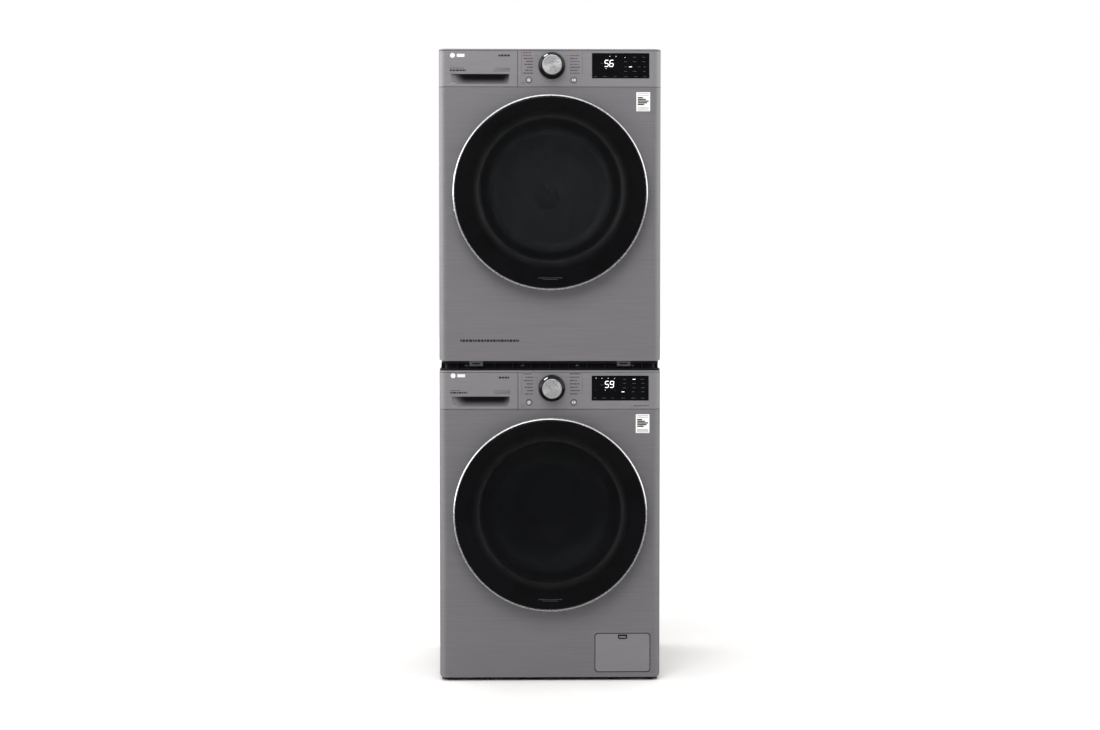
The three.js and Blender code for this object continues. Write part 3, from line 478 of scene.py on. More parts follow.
def stainlessDrum():
    # Stainless steel, cold rolled and pressed: bright, with soft cloudy reflections.
    kit = startMaterial("coldRolledStainless", "c6c8ca", 0.4, {"Metallic": 0.85})
    addGrain(kit, 40.0, 0.0, ("bec0c2", "ced0d2"), (0.36, 0.46))
    addGrain(kit, 1.2, 0.006, None, None, (1, 8, 1))
    return kit["material"]


def galvanisedSteel():
    # Hot-dip galvanised sheet: pale grey with a spangle of large crystals.
    kit = startMaterial("spangledGalvanisedSteel", "9a9da0", 0.45, {"Metallic": 0.85})
    tree, shader = kit["tree"], kit["shader"]
    crystals = addNode(tree, "ShaderNodeTexVoronoi", None, {"Vector": kit["mm"], "Scale": 1 / 9.0})
    tone = addNode(tree, "ShaderNodeValToRGB", {"stops": [(0.1, "96999c"), (0.9, "a1a4a7")]},
        {"Fac": crystals.outputs["Color"]})
    tree.links.new(tone.outputs["Color"], shader.inputs["Base Color"])
    addGrain(kit, 5.0, 0.002, None, (0.42, 0.5))
    return kit["material"]


def zincPlate():
    # Zinc plate on springs, rods and screws: bluish and bright, rubbed at the edges.
    kit = startMaterial("blueZincPlate", "b4b8bd", 0.32, {"Metallic": 1.0})
    addGrain(kit, 4.0, 0.004, ("a9adb3", "c0c4c8"), (0.27, 0.4))
    return kit["material"]


def copperPipe():
    # Drawn copper, slightly tarnished, with heat tint where it was brazed.
    kit = startMaterial("drawnCopper", "b5713f", 0.32, {"Metallic": 1.0})
    addGrain(kit, 18.0, 0.004, ("8f5833", "c07a48"), (0.26, 0.42))
    return kit["material"]


def enamelledMotor():
    # Black stoving enamel on pressed steel: a slight orange peel.
    kit = startMaterial("blackStovingEnamel", "17171a", 0.3, {"IOR": 1.5})
    addGrain(kit, 2.5, 0.02, ("131316", "1f1f23"), (0.24, 0.38))
    return kit["material"]


def finnedAluminium():
    # Thin aluminium fins on copper tube: close bright lines and dark gaps.
    kit = startMaterial("coilFinAluminium", "b6b9bb", 0.38, {"Metallic": 0.95})
    addGrain(kit, 3.0, 0.02, ("a2a5a8", "c6c9cb"), (0.32, 0.48), (1, 1, 12))
    return kit["material"]


def castConcrete():
    # Concrete cast in a mould: pale grey, pitted by air, with darker damp patches.
    kit = startMaterial("castConcrete", "8e8c86", 0.88)
    addGrain(kit, 22.0, 0.0, ("807e78", "9b9992"), (0.82, 0.94))
    addGrain(kit, 2.4, 0.25, None, None, (1, 1, 1), 6.0)
    return kit["material"]


def woolFelt():
    # Pressed wool felt: a soft grey edge with loose fibres.
    kit = startMaterial("pressedWoolFelt", "8c8a86", 0.95, {"Sheen Weight": 0.5, "Sheen Roughness": 0.6})
    addGrain(kit, 5.0, 0.0, ("7f7d79", "9a9894"))
    addGrain(kit, 0.7, 0.15, None, None, (1, 5, 1), 5.0)
    return kit["material"]


def lintMesh():
    # Woven polyester mesh in a moulded frame: a fine grid, darker in its holes.
    finish = {"pitch": 1.6}  # a real lint mesh is near 0.3 mm
    kit = startMaterial("wovenLintMesh", "a9abad", 0.6)
    tree, shader = kit["tree"], kit["shader"]
    cells = addNode(tree, "ShaderNodeTexBrick", {"offset": 0.0}, {"Vector": kit["mm"],
        "Scale": 1 / finish["pitch"], "Mortar Size": 0.22, "Brick Width": 1.0, "Row Height": 1.0,
        "Color1": linear("3c3e40"), "Color2": linear("444648"), "Mortar": linear("b4b6b8")})
    tree.links.new(cells.outputs["Color"], shader.inputs["Base Color"])
    addGrain(kit, 6.0, 0.01, None, (0.55, 0.68))
    return kit["material"]


def radiusFrom(kit, machine, line="axisZ"):  # distance from a door's or drum's centre line, in mm
    tree = kit["tree"]
    away = addNode(tree, "ShaderNodeVectorMath", {"operation": "SUBTRACT"},
        {0: kit["mm"], 1: (0, 0, machine[line])})
    flat = addNode(tree, "ShaderNodeVectorMath", {"operation": "MULTIPLY"},
        {0: away.outputs[0], 1: (1, 0, 1)})
    return addNode(tree, "ShaderNodeVectorMath", {"operation": "LENGTH"},
        {0: flat.outputs[0]}).outputs["Value"]


def printedDoorGlass(machine):
    # Toughened glass, pressed to a dome and printed black behind: a clear smoked middle, a lighter
    # ring over the moulded surround, then a solid border.
    finish = {"edge": 260.0, "middle": machine["smoke"], "shade": 0.84, "ring": machine["ringSmoke"]}
    kit = startMaterial(machine["name"] + "PrintedGlass", "050506", 0.035, {"IOR": 1.52})
    share = addNode(kit["tree"], "ShaderNodeMath", {"operation": "DIVIDE"},
        {0: radiusFrom(kit, machine, "axisZ"), 1: finish["edge"]})
    cover = addNode(kit["tree"], "ShaderNodeValToRGB", {"stops": [(0.57, finish["middle"]), (0.86, 1.0),
        (0.665, finish["shade"]), (0.715, finish["shade"]), (0.745, finish["ring"]), (0.79, 0.66)]},
        {"Fac": share.outputs[0]})
    kit["tree"].links.new(cover.outputs["Color"], kit["shader"].inputs["Alpha"])
    addGrain(kit, 60.0, 0.01, ("040405", "08080a"), (0.025, 0.05))
    return kit["material"]


def pressedBowlGlass():
    # Clear pressed glass: almost invisible face on, with bright thick edges.
    kit = startMaterial("pressedBowlGlass", "8f979a", 0.04, {"IOR": 1.52})
    facing = addNode(kit["tree"], "ShaderNodeLayerWeight", None, {"Blend": 0.35})
    spread = addNode(kit["tree"], "ShaderNodeMapRange", None, {0: facing.outputs["Facing"], 1: 0.0, 2: 1.0,
        3: 0.1, 4: 0.75})
    kit["tree"].links.new(spread.outputs[0], kit["shader"].inputs["Alpha"])
    addGrain(kit, 45.0, 0.03, None, (0.03, 0.07))
    return kit["material"]


def displayGlass():
    # Smoked acrylic over the display: black and flat, with a clean reflection.
    kit = startMaterial("smokedDisplayAcrylic", "060607", 0.07, {"IOR": 1.49})
    addGrain(kit, 40.0, 0.005, ("050506", "09090b"), (0.05, 0.1))
    return kit["material"]


def screenInk(name, code):
    # Screen-printed ink: a thin satin layer with slightly uneven cover.
    kit = startMaterial(name, code, 0.5)
    darker = "".join(f"{int(int(code[i:i + 2], 16) * 0.9):02x}" for i in (0, 2, 4))
    addGrain(kit, 1.5, 0.004, (darker, code), (0.45, 0.6))
    return kit["material"]


def litLed(name, code, strength):
    # A lit segment behind diffusing film: even, a little softer at its ends.
    kit = startMaterial(name, code, 0.4, {"Emission Strength": strength})
    glow = addNode(kit["tree"], "ShaderNodeTexNoise", None, {"Vector": kit["mm"], "Scale": 0.5})
    darker = "".join(f"{int(int(code[i:i + 2], 16) * 0.86):02x}" for i in (0, 2, 4))
    tone = addNode(kit["tree"], "ShaderNodeValToRGB", {"stops": [(0.3, darker), (0.7, code)]},
        {"Fac": glow.outputs["Fac"]})
    kit["tree"].links.new(tone.outputs["Color"], kit["shader"].inputs["Emission Color"])
    return kit["material"]


def labelFilm():
    # Coated paper label: bright, smooth, faintly fibrous.
    kit = startMaterial("coatedPaperLabel", "eeeeec", 0.45)
    addGrain(kit, 3.0, 0.004, ("e8e8e6", "f3f3f1"), (0.4, 0.52))
    return kit["material"]


washer.update({"smoke": 0.55, "ringSmoke": 0.34})
dryer.update({"smoke": 0.36, "ringSmoke": 0.36})
graphite = brushedGraphiteSteel()
mouldedGraphite = satinGraphiteAbs()
scoopPaintedShade = paintedScoopShade()
satinBlack = satinBlackAbs()
mattBlack = mattBlackPolypropylene()
slate = greyTabPolypropylene()
greyPlastic = greyPolypropylene()
whitePlastic = whitePolypropylene()
greyRubber = ribbedRubber()
darkRubber = blackRubber()
chrome = satinChrome()
spun = spunAluminium()
stainless = stainlessDrum()
galvanised = galvanisedSteel()
zinc = zincPlate()
copper = copperPipe()
enamel = enamelledMotor()
fins = finnedAluminium()
concrete = castConcrete()
felt = woolFelt()
lintCloth = lintMesh()
bowlGlass = pressedBowlGlass()
acrylic = displayGlass()
whiteInk = screenInk("opaqueWhiteInk", "f2f2f4")
greyInk = screenInk("midGreyInk", "3d3c3f")
darkInk = screenInk("darkGreyInk", "232224")
dimGreyInk = screenInk("dimGreyInk", "39393c")
maroonInk = screenInk("maroonInk", "6f414c")
roseInk = screenInk("roseInk", "8d7177")
violetInk = screenInk("violetInk", "57577a")
badgeInk = screenInk("silverBadgeInk", "e6e6e9")
brightLed = litLed("brightWhiteLed", "f2f6ff", 1.15)
dimLed = litLed("dimWhiteLed", "3a4048", 0.22)
paper = labelFilm()
print("materials made:", len(bpy.data.materials))


# camera, light and floor


def studio():
    look = {"eye": (-100, -5896, 1110), "aim": (0, front, 862), "lens": 67.7, "ahead": 0.10, "around": 1.0,
        "sun": 0.9, "sunFrom": (-0.25, -1.0, 0.9), "sunAngle": 40, "floor": "f7f6f4", "left": 3.4,
        "right": 2.2,
        "softbox": (-300, -2400, 2900), "softboxSize": 1.8, "softboxPower": 30}
    scene = bpy.context.scene
    scene.view_settings.view_transform = "Standard"
    camera = bpy.data.objects.new("camera", bpy.data.cameras.new("camera"))
    scene.collection.objects.link(camera)
    eye, aim = Vector(look["eye"]) / 1000, Vector(look["aim"]) / 1000
    camera.location = eye
    camera.rotation_euler = (aim - eye).to_track_quat("-Z", "Y").to_euler()
    camera.data.lens = look["lens"]
    camera.data.sensor_width = 36
    camera.data.clip_end = 200
    scene.camera = camera

    world = bpy.data.worlds.new("whiteStudio")
    world.use_nodes = True
    scene.world = world
    tree = world.node_tree
    backdrop = tree.nodes["Background"]
    place = addNode(tree, "ShaderNodeTexCoord")
    parts = addNode(tree, "ShaderNodeSeparateXYZ", None, {0: place.outputs["Generated"]})
    ahead = addNode(tree, "ShaderNodeMapRange", {"interpolation_type": "SMOOTHSTEP"},
        {0: parts.outputs["Y"], 1: -0.97, 2: -0.3, 3: look["ahead"], 4: look["around"]})
    tone = ahead
    for side, way in (("left", -1), ("right", 1)):  # a bright screen out to each side
        flank = addNode(tree, "ShaderNodeMapRange", {"interpolation_type": "SMOOTHSTEP"},
            {0: parts.outputs["X"], 1: way * 0.6, 2: way * 0.95, 3: 1.0, 4: look[side]})
        tone = addNode(tree, "ShaderNodeMath", {"operation": "MULTIPLY"}, {0: tone.outputs[0],
            1: flank.outputs[0]})
    rays = addNode(tree, "ShaderNodeLightPath")
    mixed = addNode(tree, "ShaderNodeMix", {"data_type": "FLOAT"}, {0: rays.outputs["Is Camera Ray"],
        2: tone.outputs[0], 3: 1.0})
    backdrop.inputs["Color"].default_value = (1, 1, 1, 1)
    tree.links.new(mixed.outputs[0], backdrop.inputs["Strength"])

    sun = bpy.data.objects.new("softSun", bpy.data.lights.new("softSun", "SUN"))
    sun.data.energy = look["sun"]
    sun.data.angle = math.radians(look["sunAngle"])
    sun.rotation_euler = Vector(look["sunFrom"]).to_track_quat("Z", "Y").to_euler()
    scene.collection.objects.link(sun)

    softbox = bpy.data.objects.new("softbox", bpy.data.lights.new("softbox", "AREA"))
    softbox.data.size = look["softboxSize"]
    softbox.data.energy = look["softboxPower"]
    softbox.location = Vector(look["softbox"]) / 1000
    softbox.rotation_euler = (softbox.location - Vector((0, front / 1000, 1.25))).to_track_quat("Z",
        "Y").to_euler()
    softbox.visible_glossy = False  # lights the fronts without showing in the door glass
    scene.collection.objects.link(softbox)

    kit = startMaterial("paleStudioFloor", look["floor"], 0.7)
    addGrain(kit, 400.0, 0.0, ("efeeec", look["floor"]), (0.62, 0.75))
    seen = addNode(kit["tree"], "ShaderNodeLightPath")  # keeps the floor's glare out of the gloss
    dark = addNode(kit["tree"], "ShaderNodeBsdfDiffuse", None, {"Color": linear("4a4a4c")})
    mixed = addNode(kit["tree"], "ShaderNodeMixShader", None, {0: seen.outputs["Is Glossy Ray"],
        1: kit["shader"].outputs[0], 2: dark.outputs[0]})
    kit["tree"].links.new(mixed.outputs[0], kit["tree"].nodes["Material Output"].inputs["Surface"])
    reach = 30000
    slab = prism(roundedBox((-reach, reach), (-reach, reach), 600), (-6, -0.3), "z")
    bmesh.ops.scale(slab, vec=(0.001, 0.001, 0.001), verts=slab.verts)
    ground = bpy.data.meshes.new("studioFloor")
    slab.to_mesh(ground)
    slab.free()
    ground.materials.append(kit["material"])
    floor = bpy.data.objects.new("studioFloor", ground)
    scene.collection.objects.link(floor)


studio()
print("studio set")

# casing

inlets = [(-212, 800), (-168, 800)]  # hot and cold spigots on the washer's back
drain = (224, 104)  # where the drain pipe leaves it


def wallPath(halfWidth, closed, opened, radius):  # the plan of a wall bent round two corners
    way = 1 if closed > opened else -1
    bend = arc((radius - halfWidth, 0), radius, 180, 90, 10)
    left = [(x, closed - way * radius + way * y) for x, y in bend]
    return [(-halfWidth, opened)] + left + [(-x, y) for x, y in left[::-1]] + [(halfWidth, opened)]


def bentPlan(closed, opened, radius, wall):
    inward = wall if closed > opened else -wall
    return wallPath(half, closed, opened, radius) + wallPath(half - wall, closed - inward, opened,
        radius - wall)[::-1]


def frontPanel(machine):
    look = {"cornerDrop": 9, "lip": 204, "collar": 20, "latch": (208, 228), "latchHalf": 14}
    name, z = machine["name"], (machine["low"], machine["split"] - seam / 2)
    hole = edges("washer_gasket")["x"][1] + 0.8
    outline = roundedBox((-half, half), z, (look["cornerDrop"], look["cornerDrop"], 0.8, 0.8), 8)
    panel = carve(prism(bentPlan(front, wrapEnd, corner, sheet), z, "z"), prism(outline,
        (front - 2, wrapEnd + 2)), how="INTERSECT")
    tools = [rod(look["lip"], (front - 3, front + 4), (0, machine["axisZ"]), 128),
        prism(roundedBox(look["latch"], [machine["doorZ"] + s * look["latchHalf"] for s in (-1, 1)], 2),
        (front - 3, front + 4))]
    if name == "washer":
        flap = edges("washer_filter_flap")
        tools.append(prism(roundedBox((flap["x"][0] - 0.9, flap["x"][1] + 0.9),
            (flap["z"][0] - 0.9, flap["z"][1] + 0.9), 8.9, 8), (front - 3, front + 4)))
    panel = carve(panel, *tools)
    rolled = [(207, front + 0.25), (203.5, front + 0.3), (hole + 1, front + 1.1), (hole, front + 3),
        (hole, front + look["collar"]), (hole + 1.2, front + look["collar"]), (hole + 1.2, front + 3.4),
        (hole + 2, front + 2.1), (204, front + 1.5), (207, front + 1.3)]
    panel = carve(panel, lathe(rolled, (0, machine["axisZ"]), 128), how="UNION")
    makePiece(name + "FrontPanel", panel, graphite, "casing", [name + "_front_panel"], 0.5)


def locatingTabs():
    look = {"x": 200, "halfWidth": 18.5, "drop": 14.2}
    top = dryer["low"] + 3
    tabs = []
    for side in (-1, 1):
        x = (side * look["x"] - look["halfWidth"], side * look["x"] + look["halfWidth"])
        plate = prism(roundedBox(x, (dryer["low"] - look["drop"], top), (2, 2, 0, 0)),
            (front + 1.3, front + 2.3))
        slot = prism(roundedBox((x[0] + 8, x[1] - 8), (top - 12, top - 9), 1.4), (front - 1, front + 4))
        tabs.append(carve(plate, slot))
    # painted shade: the tabs belong to the graphite front panel but take a darker slate grey, as their recess
    # looks in shadow
    makePiece("dryerLocatingTabsPaintedShade", together(*tabs), slate, "casing", (), 0.3)


def cabinet(machine):
    look = {"frame": 46, "depth": 2.4, "round": 40,
        "holes": [(*inlet, 15) for inlet in inlets] + [(*drain, 13.5)]}
    name, z = machine["name"], (machine["low"] + 2, machine["board"] - 0.5)
    opened, rear = edges(name + "_cabinet")["y"][0], machine["rear"]
    shell = prism(bentPlan(rear, opened, rearCorner, sheet), z, "z")
    backings, reliefs = [], []
    for side in (-1, 1):  # a shallow pressed field on each side stiffens the sheet
        y = (opened + look["frame"], rear - look["frame"])
        field = (z[0] + look["frame"] + 14, z[1] - look["frame"] - 14)
        outer = sorted((side * half - side * 0.4, side * (half - look["depth"] - sheet)))
        cutter = sorted((side * (half + 2), side * (half - look["depth"])))
        backings.append(prism(roundedBox((y[0] - 2, y[1] + 2), (field[0] - 2, field[1] + 2),
            look["round"] + 2, 8), outer, "x"))
        reliefs.append(prism(roundedBox(y, field, look["round"], 8), cutter, "x"))
    shell = carve(shell, *backings, how="UNION")
    if name == "washer":
        for x, z, radius in look["holes"]:
            reliefs.append(rod(radius, (rear - 6, rear + 6), (x, z), 40))
        for k in range(9):  # louvres low on the left of the back
            x = -236 + 15 * k
            reliefs.append(prism(roundedBox((x, x + 5), (52, 118), 2.4), (rear - 4, rear + 4)))
    else:
        for k in range(14):  # intake slots beside the compressor
            x = -262 + 13 * k
            reliefs.append(prism(roundedBox((x, x + 5), (905, 985), 2.4), (rear - 4, rear + 4)))
    shell = carve(shell, *reliefs)
    makePiece(name + "Cabinet", shell, graphite, "casing", [name + "_cabinet"], 0.6)


def topBoard(machine):
    plan = roundedBox((-half, half), (front, machine["rear"]), (corner, corner, rearCorner, rearCorner), 12)
    board = prism(plan, (machine["board"], machine["top"]), "z")
    makePiece(machine["name"] + "TopBoard", board, mouldedGraphite, "casing",
        [machine["name"] + "_top_panel"], 1.9, 4)


def casing():
    for machine in machines:
        frontPanel(machine)
        cabinet(machine)
        topBoard(machine)
    locatingTabs()


casing()
print("casing made")

# consoles and drawer fronts

control = {"knobX": middle("washer_knob", "x"), "knobRise": middle("washer_knob", "z") - washer["split"],
    "wall": 2.6, "buttonRise": middle("washer_power_button", "z") - washer["split"],
    "powerX": middle("washer_power_button", "x"), "startX": middle("washer_start_button", "x")}


def wingPlan(inner, side, wall):  # from an upright seam round one front corner; side is +1 right, -1 left
    def path(inset):
        bend = arc((half - corner, front + corner), corner - inset, 270, 360, 10)
        return [(inner + inset, wrapEnd), (inner + inset, front + inset)] + bend + [(half - inset, wrapEnd)]
    return [(side * x, y) for x, y in path(0) + path(wall)[::-1]]


def consoleCover(machine):
    name, z = machine["name"], (machine["split"] + seam / 2, machine["board"] - 0.5)
    cover = prism(wingPlan(edges(name + "_console")["x"][0], 1, control["wall"]), z, "z")
    window = edges(name + "_display")
    through = (front - 3, front + 6)
    knob = (control["knobX"], machine["split"] + control["knobRise"])
    tools = [prism(roundedBox((window["x"][0] - 0.5, window["x"][1] + 0.5),
        (window["z"][0] - 0.5, window["z"][1] + 0.5), 1.6), through), rod(7, through, knob, 32),
        lathe([(0, front - 3), (36.4, front - 3), (36.4, front + 0.5), (0, front + 0.5)], knob, 96)]
    for x in (control["powerX"], control["startX"]):
        hole = [(0, front - 3), (9.4, front - 3), (9.4, front), (8.3, front + 0.9), (8.0, front + 6),
            (0, front + 6)]
        tools.append(lathe(hole, (x, machine["split"] + control["buttonRise"]), 64))
    makePiece(name + "Console", carve(cover, *tools), mouldedGraphite, "casing",
        [name + "_console"], 0.5)


def scoopBody(machine, margin, frontFace):  # what the finger scoop takes out of the drawer front
    look = {"left": -274, "right": -109, "rise": 7.8, "height": 26.8, "depth": 24, "ramp": 52, "endRound": 26}
    x = (look["left"] - margin, look["right"] + margin)
    z = (machine["split"] + look["rise"] - margin, machine["split"] + look["rise"] + look["height"] + margin)
    columns, rows = 44, 14
    bm = bmesh.new()
    grid = []
    for i in range(columns + 1):
        u = x[0] + (x[1] - x[0]) * i / columns
        into = min(1, (u - x[0]) / look["ramp"])
        left = into * into * (3 - 2 * into)
        tail = max(0, 1 - (x[1] - u) / look["endRound"])
        right = math.sqrt(max(0, 1 - tail * tail))
        line = []
        for j in range(rows + 1):
            t = (j / rows) ** 1.5
            up = math.sin(t * math.pi / 2) ** 0.75
            depth = (look["depth"] + margin + 0.6) * left * right * up - 0.6 + margin * 0.5
            line.append(bm.verts.new((u, front + depth, z[0] + (z[1] - z[0]) * t)))
        grid.append(line)
    faces = [[bm.verts.new((v.co.x, frontFace, v.co.z)) for v in line] for line in grid]
    for i in range(columns):
        for j in range(rows):
            bm.faces.new((grid[i][j], grid[i][j + 1], grid[i + 1][j + 1], grid[i + 1][j]))
            bm.faces.new((faces[i][j], faces[i + 1][j], faces[i + 1][j + 1], faces[i][j + 1]))
        for j in (0, rows):
            bm.faces.new((grid[i][j], grid[i + 1][j], faces[i + 1][j], faces[i][j]))
    for i in (0, columns):
        for j in range(rows):
            bm.faces.new((grid[i][j], grid[i][j + 1], faces[i][j + 1], faces[i][j]))
    bmesh.ops.recalc_face_normals(bm, faces=bm.faces)
    return bm


def drawerFront(machine, part, body):
    name, z = machine["name"], (machine["split"] + seam / 2, machine["board"] - 0.5)
    inner = -edges(part)["x"][1]
    plate = prism(wingPlan(inner, -1, control["wall"]), z, "z")
    cup = carve(scoopBody(machine, 2.4, front + 1.3), block((-half, -inner - 1), (front + 1.2, wrapEnd), z),
        how="INTERSECT")
    plate = carve(plate, cup, how="UNION")
    plate = carve(plate, scoopBody(machine, 0, front - 2))
    makePiece(name + "DrawerFront", plate, mouldedGraphite, body, [part], 0.45)
    # a thin lining inside the scoop that carries its painted shade
    shadeLining = carve(scoopBody(machine, 0, front + 0.9), block((-half, -inner), (front - 3, front + 0.9), z))
    shadeLining = carve(shadeLining, scoopBody(machine, -0.35, front - 2))
    makePiece(name + "ScoopPaintedShadeLining", shadeLining, scoopPaintedShade, body, smooth=60)


def knob(machine):
    name = machine["name"]
    centre = (control["knobX"], machine["split"] + control["knobRise"])
    skirt = [(0, front - 29.6), (25.4, front - 29.6), (26.4, front - 30.6), (27.3, front - 30.9),
        (28, front - 29.9), (28.2, front - 18), (28.9, front - 14.6), (30, front - 13.2),
        (33.2, front - 11.6), (34.4, front - 9.6), (35, front - 5), (35, front - 2.2), (34.4, front - 0.9),
        (8, front - 0.9), (5, front - 0.9), (5, front + 32), (0, front + 32)]
    makePiece(name + "KnobSkirt", lathe(skirt, centre, 144), satinBlack, name + "_knob",
        [name + "_knob"], smooth=40)
    cap = [(0, front - 30.3), (9, front - 30.35), (18, front - 30.5), (24, front - 30.75),
        (25.6, front - 30.8), (26.2, front - 30.5), (26.2, front - 29.7), (0, front - 29.7)]
    makePiece(name + "KnobCap", lathe(cap, centre, 144), spun, name + "_knob",
        smooth=40)
    dash = prism([(x, z) for x, z in arc(centre, 32.4, 132, 112, 6) + arc(centre, 30.4, 112, 132, 6)],
        (front - 13.3, front - 11.2))
    makePiece(name + "KnobPointer", dash, brightLed, name + "_knob", (), 0.1)
    trim = pipe(35.3, 36.1, (front - 0.9, front + 0.4), centre, 128)
    makePiece(name + "KnobTrim", trim, satinBlack, "casing", (), 0.15)


def arcBand(centre, inner, outer, start, stop, steps=24):
    return arc(centre, outer, start, stop, steps) + arc(centre, inner, stop, start, steps)


def button(machine, key, x):
    name = machine["name"]
    part = f"{name}_{key}_button"
    centre = (x, machine["split"] + control["buttonRise"])
    dished = [(0, front - 1.5), (5, front - 1.62), (6.4, front - 1.95), (7.0, front - 1.95),
        (7.4, front - 1.4), (7.4, front + 4.8), (9.2, front + 4.8), (9.2, front + 7), (0, front + 7)]
    makePiece(f"{name}{key.title()}Button", lathe(dished, centre, 96), mouldedGraphite, part,
        [part], smooth=40)
    y = (front - 1.66, front - 1.4)
    if key == "power":
        marks = [prism(arcBand(centre, 2.3, 3.7, 125, 415), y), prism(roundedBox((x - 0.6, x + 0.6),
            (centre[1] + 0.3, centre[1] + 4.4), 0.3), y)]
    else:
        marks = [prism([(x - 4.4, centre[1] - 2.9), (x - 0.3, centre[1]), (x - 4.4, centre[1] + 2.9)], y),
            prism(roundedBox((x + 0.4, x + 1.8), (centre[1] - 2.8, centre[1] + 2.8), 0.3), y),
            prism(roundedBox((x + 2.8, x + 4.2), (centre[1] - 2.8, centre[1] + 2.8), 0.3), y)]
    makePiece(f"{name}{key.title()}Symbol", together(*marks), whiteInk, part)
    ring = pipe(7.6, 8.3, (front + 0.15, front + 0.8), centre, 96)
    makePiece(f"{name}{key.title()}LightRing", ring, greyInk, "casing", (), 0.1)


for machine in machines:
    consoleCover(machine)
    knob(machine)
    button(machine, "power", control["powerX"])
    button(machine, "start", control["startX"])
drawerFront(washer, "washer_drawer_front", "washer_drawer")
drawerFront(dryer, "dryer_tank_front", "dryer_tank")
print("controls made")

# displays and printing

segmentsOf = {"5": "afgcd", "6": "afgcde", "9": "abcdfg"}


def digit(value, x, z, width, height, y):  # seven leaning bars, of which the lit ones are made
    look = {"bar": 1.7, "lean": 0.1, "gap": 0.3}
    bar, gap, mid = look["bar"], look["gap"], height / 2
    level = lambda v: [(bar * 0.5 + gap, v), (bar + gap, v + bar / 2), (width - bar - gap, v + bar / 2),
        (width - bar * 0.5 - gap, v), (width - bar - gap, v - bar / 2), (bar + gap, v - bar / 2)]
    upright = lambda u, v: [(u, v + gap), (u + bar / 2, v + bar / 2 + gap),
        (u + bar / 2, v + mid - bar - gap), (u, v + mid - bar / 2 - gap), (u - bar / 2,
        v + mid - bar - gap), (u - bar / 2, v + bar / 2 + gap)]
    shapes = {"a": level(height - bar / 2), "g": level(mid), "d": level(bar / 2),
        "f": upright(bar / 2, mid), "b": upright(width - bar / 2, mid), "e": upright(bar / 2, bar / 2),
        "c": upright(width - bar / 2, bar / 2)}
    return [prism([(x + u + look["lean"] * v, z + v) for u, v in shapes[s]], y) for s in segmentsOf[value]]


def dash(x, z, tall, y=None):  # one printed or lit bar, by its two ends and its middle height
    return prism(roundedBox(x, (z - tall / 2, z + tall / 2), tall * 0.3, 2), y or (front - 0.05, front + 0.2))


def wordDashes(x, z, tall, seed, y=None):  # a run of short bars, as long as the words of a line would be
    draw = random.Random(seed)
    made, at = [], x[0]
    while at < x[1] - 1.5:
        end = min(x[1], at + draw.uniform(3.5, 10))
        made.append(dash((at, end), z, tall, y))
        at = end + 1.1
    return made


def display(machine, digits, bright, dim):
    name, split = machine["name"], machine["split"]
    window = edges(name + "_display")
    x, z = window["x"], window["z"]
    glass = prism(roundedBox(x, z, 1.4), (front - 0.28, front + 2))
    housing = prism(roundedBox((x[0] + 4.5, x[1] - 4.5), (z[0] + 3.5, z[1] - 3.5), 2),
        (front + 2, front + 15))
    makePiece(name + "Display", together(glass, housing), acrylic, "casing",
        [name + "_display"], 0.25)
    y = (front - 0.34, front - 0.2)
    lit = []
    for i, value in enumerate(digits["text"]):
        lit += digit(value, digits["x"] + i * 13.4, split + digits["rise"], 11, 18.6, y)
    lit += [prism(arc((u, split + v), 0.8, 0, 330, 11), y) for u, v in bright["dots"]]
    lit += [dash((u - w / 2, u + w / 2), split + v, 1.5, y) for u, v, w in bright["bars"]]
    makePiece(name + "LitMarks", together(*lit), brightLed, "casing")
    faint = [dash((u - w / 2, u + w / 2), split + v, 1.2, y) for u, v, w in dim]
    makePiece(name + "FaintMarks", together(*faint), dimLed, "casing")


display(washer, {"text": "59", "x": 148, "rise": 58}, {"dots": [(125, 84), (141, 84), (158, 84), (175, 84),
    (150, 51.6)], "bars": [(228, 81, 8), (198, 47, 8)]}, [(141, 66, 8), (124, 51.6, 2), (176, 51.6, 2),
    (202, 81, 9), (250, 81, 10), (202, 70, 8), (228, 70, 10), (252, 70, 8), (202, 58, 9), (228, 58, 7),
    (252, 58, 10), (226, 47, 8), (252, 47, 9), (122, 30, 8), (146, 30, 12), (170, 30, 7), (198, 30, 10),
    (226, 30, 12), (252, 30, 9)])
display(dryer, {"text": "56", "x": 146, "rise": 54}, {"dots": [(161, 82), (178, 82), (202, 79.5),
    (151, 49)], "bars": [(217, 54, 8)]}, [(140, 63, 7), (204, 68, 8), (228, 68, 9), (253, 68, 8),
    (204, 54, 6), (240, 54, 8), (255, 54, 6), (228, 80, 9), (253, 80, 8), (204, 42, 8), (228, 42, 10),
    (254, 42, 7), (122, 28, 9), (148, 28, 10), (176, 28, 8), (204, 28, 10), (232, 28, 8), (256, 28, 8)])


def iconBox(x, z):  # four outlined squares, each with a plain mark in it
    made = []
    side = (x[1] - x[0] - 6) / 4
    for k in range(4):
        u = (x[0] + k * (side + 2), x[0] + k * (side + 2) + side)
        v = (z - side / 2, z + side / 2)
        frameLine = carve(prism(roundedBox(u, v, 1.2), (front - 0.05, front + 0.2)),
            prism(roundedBox((u[0] + 0.6, u[1] - 0.6), (v[0] + 0.6, v[1] - 0.6), 0.8),
            (front - 1, front + 1)))
        made.append(frameLine)
        for j in range(k + 1):
            made.append(dash((u[0] + 2, u[1] - 2), z - 1.5 + 1.5 * j, 0.6))
    return made


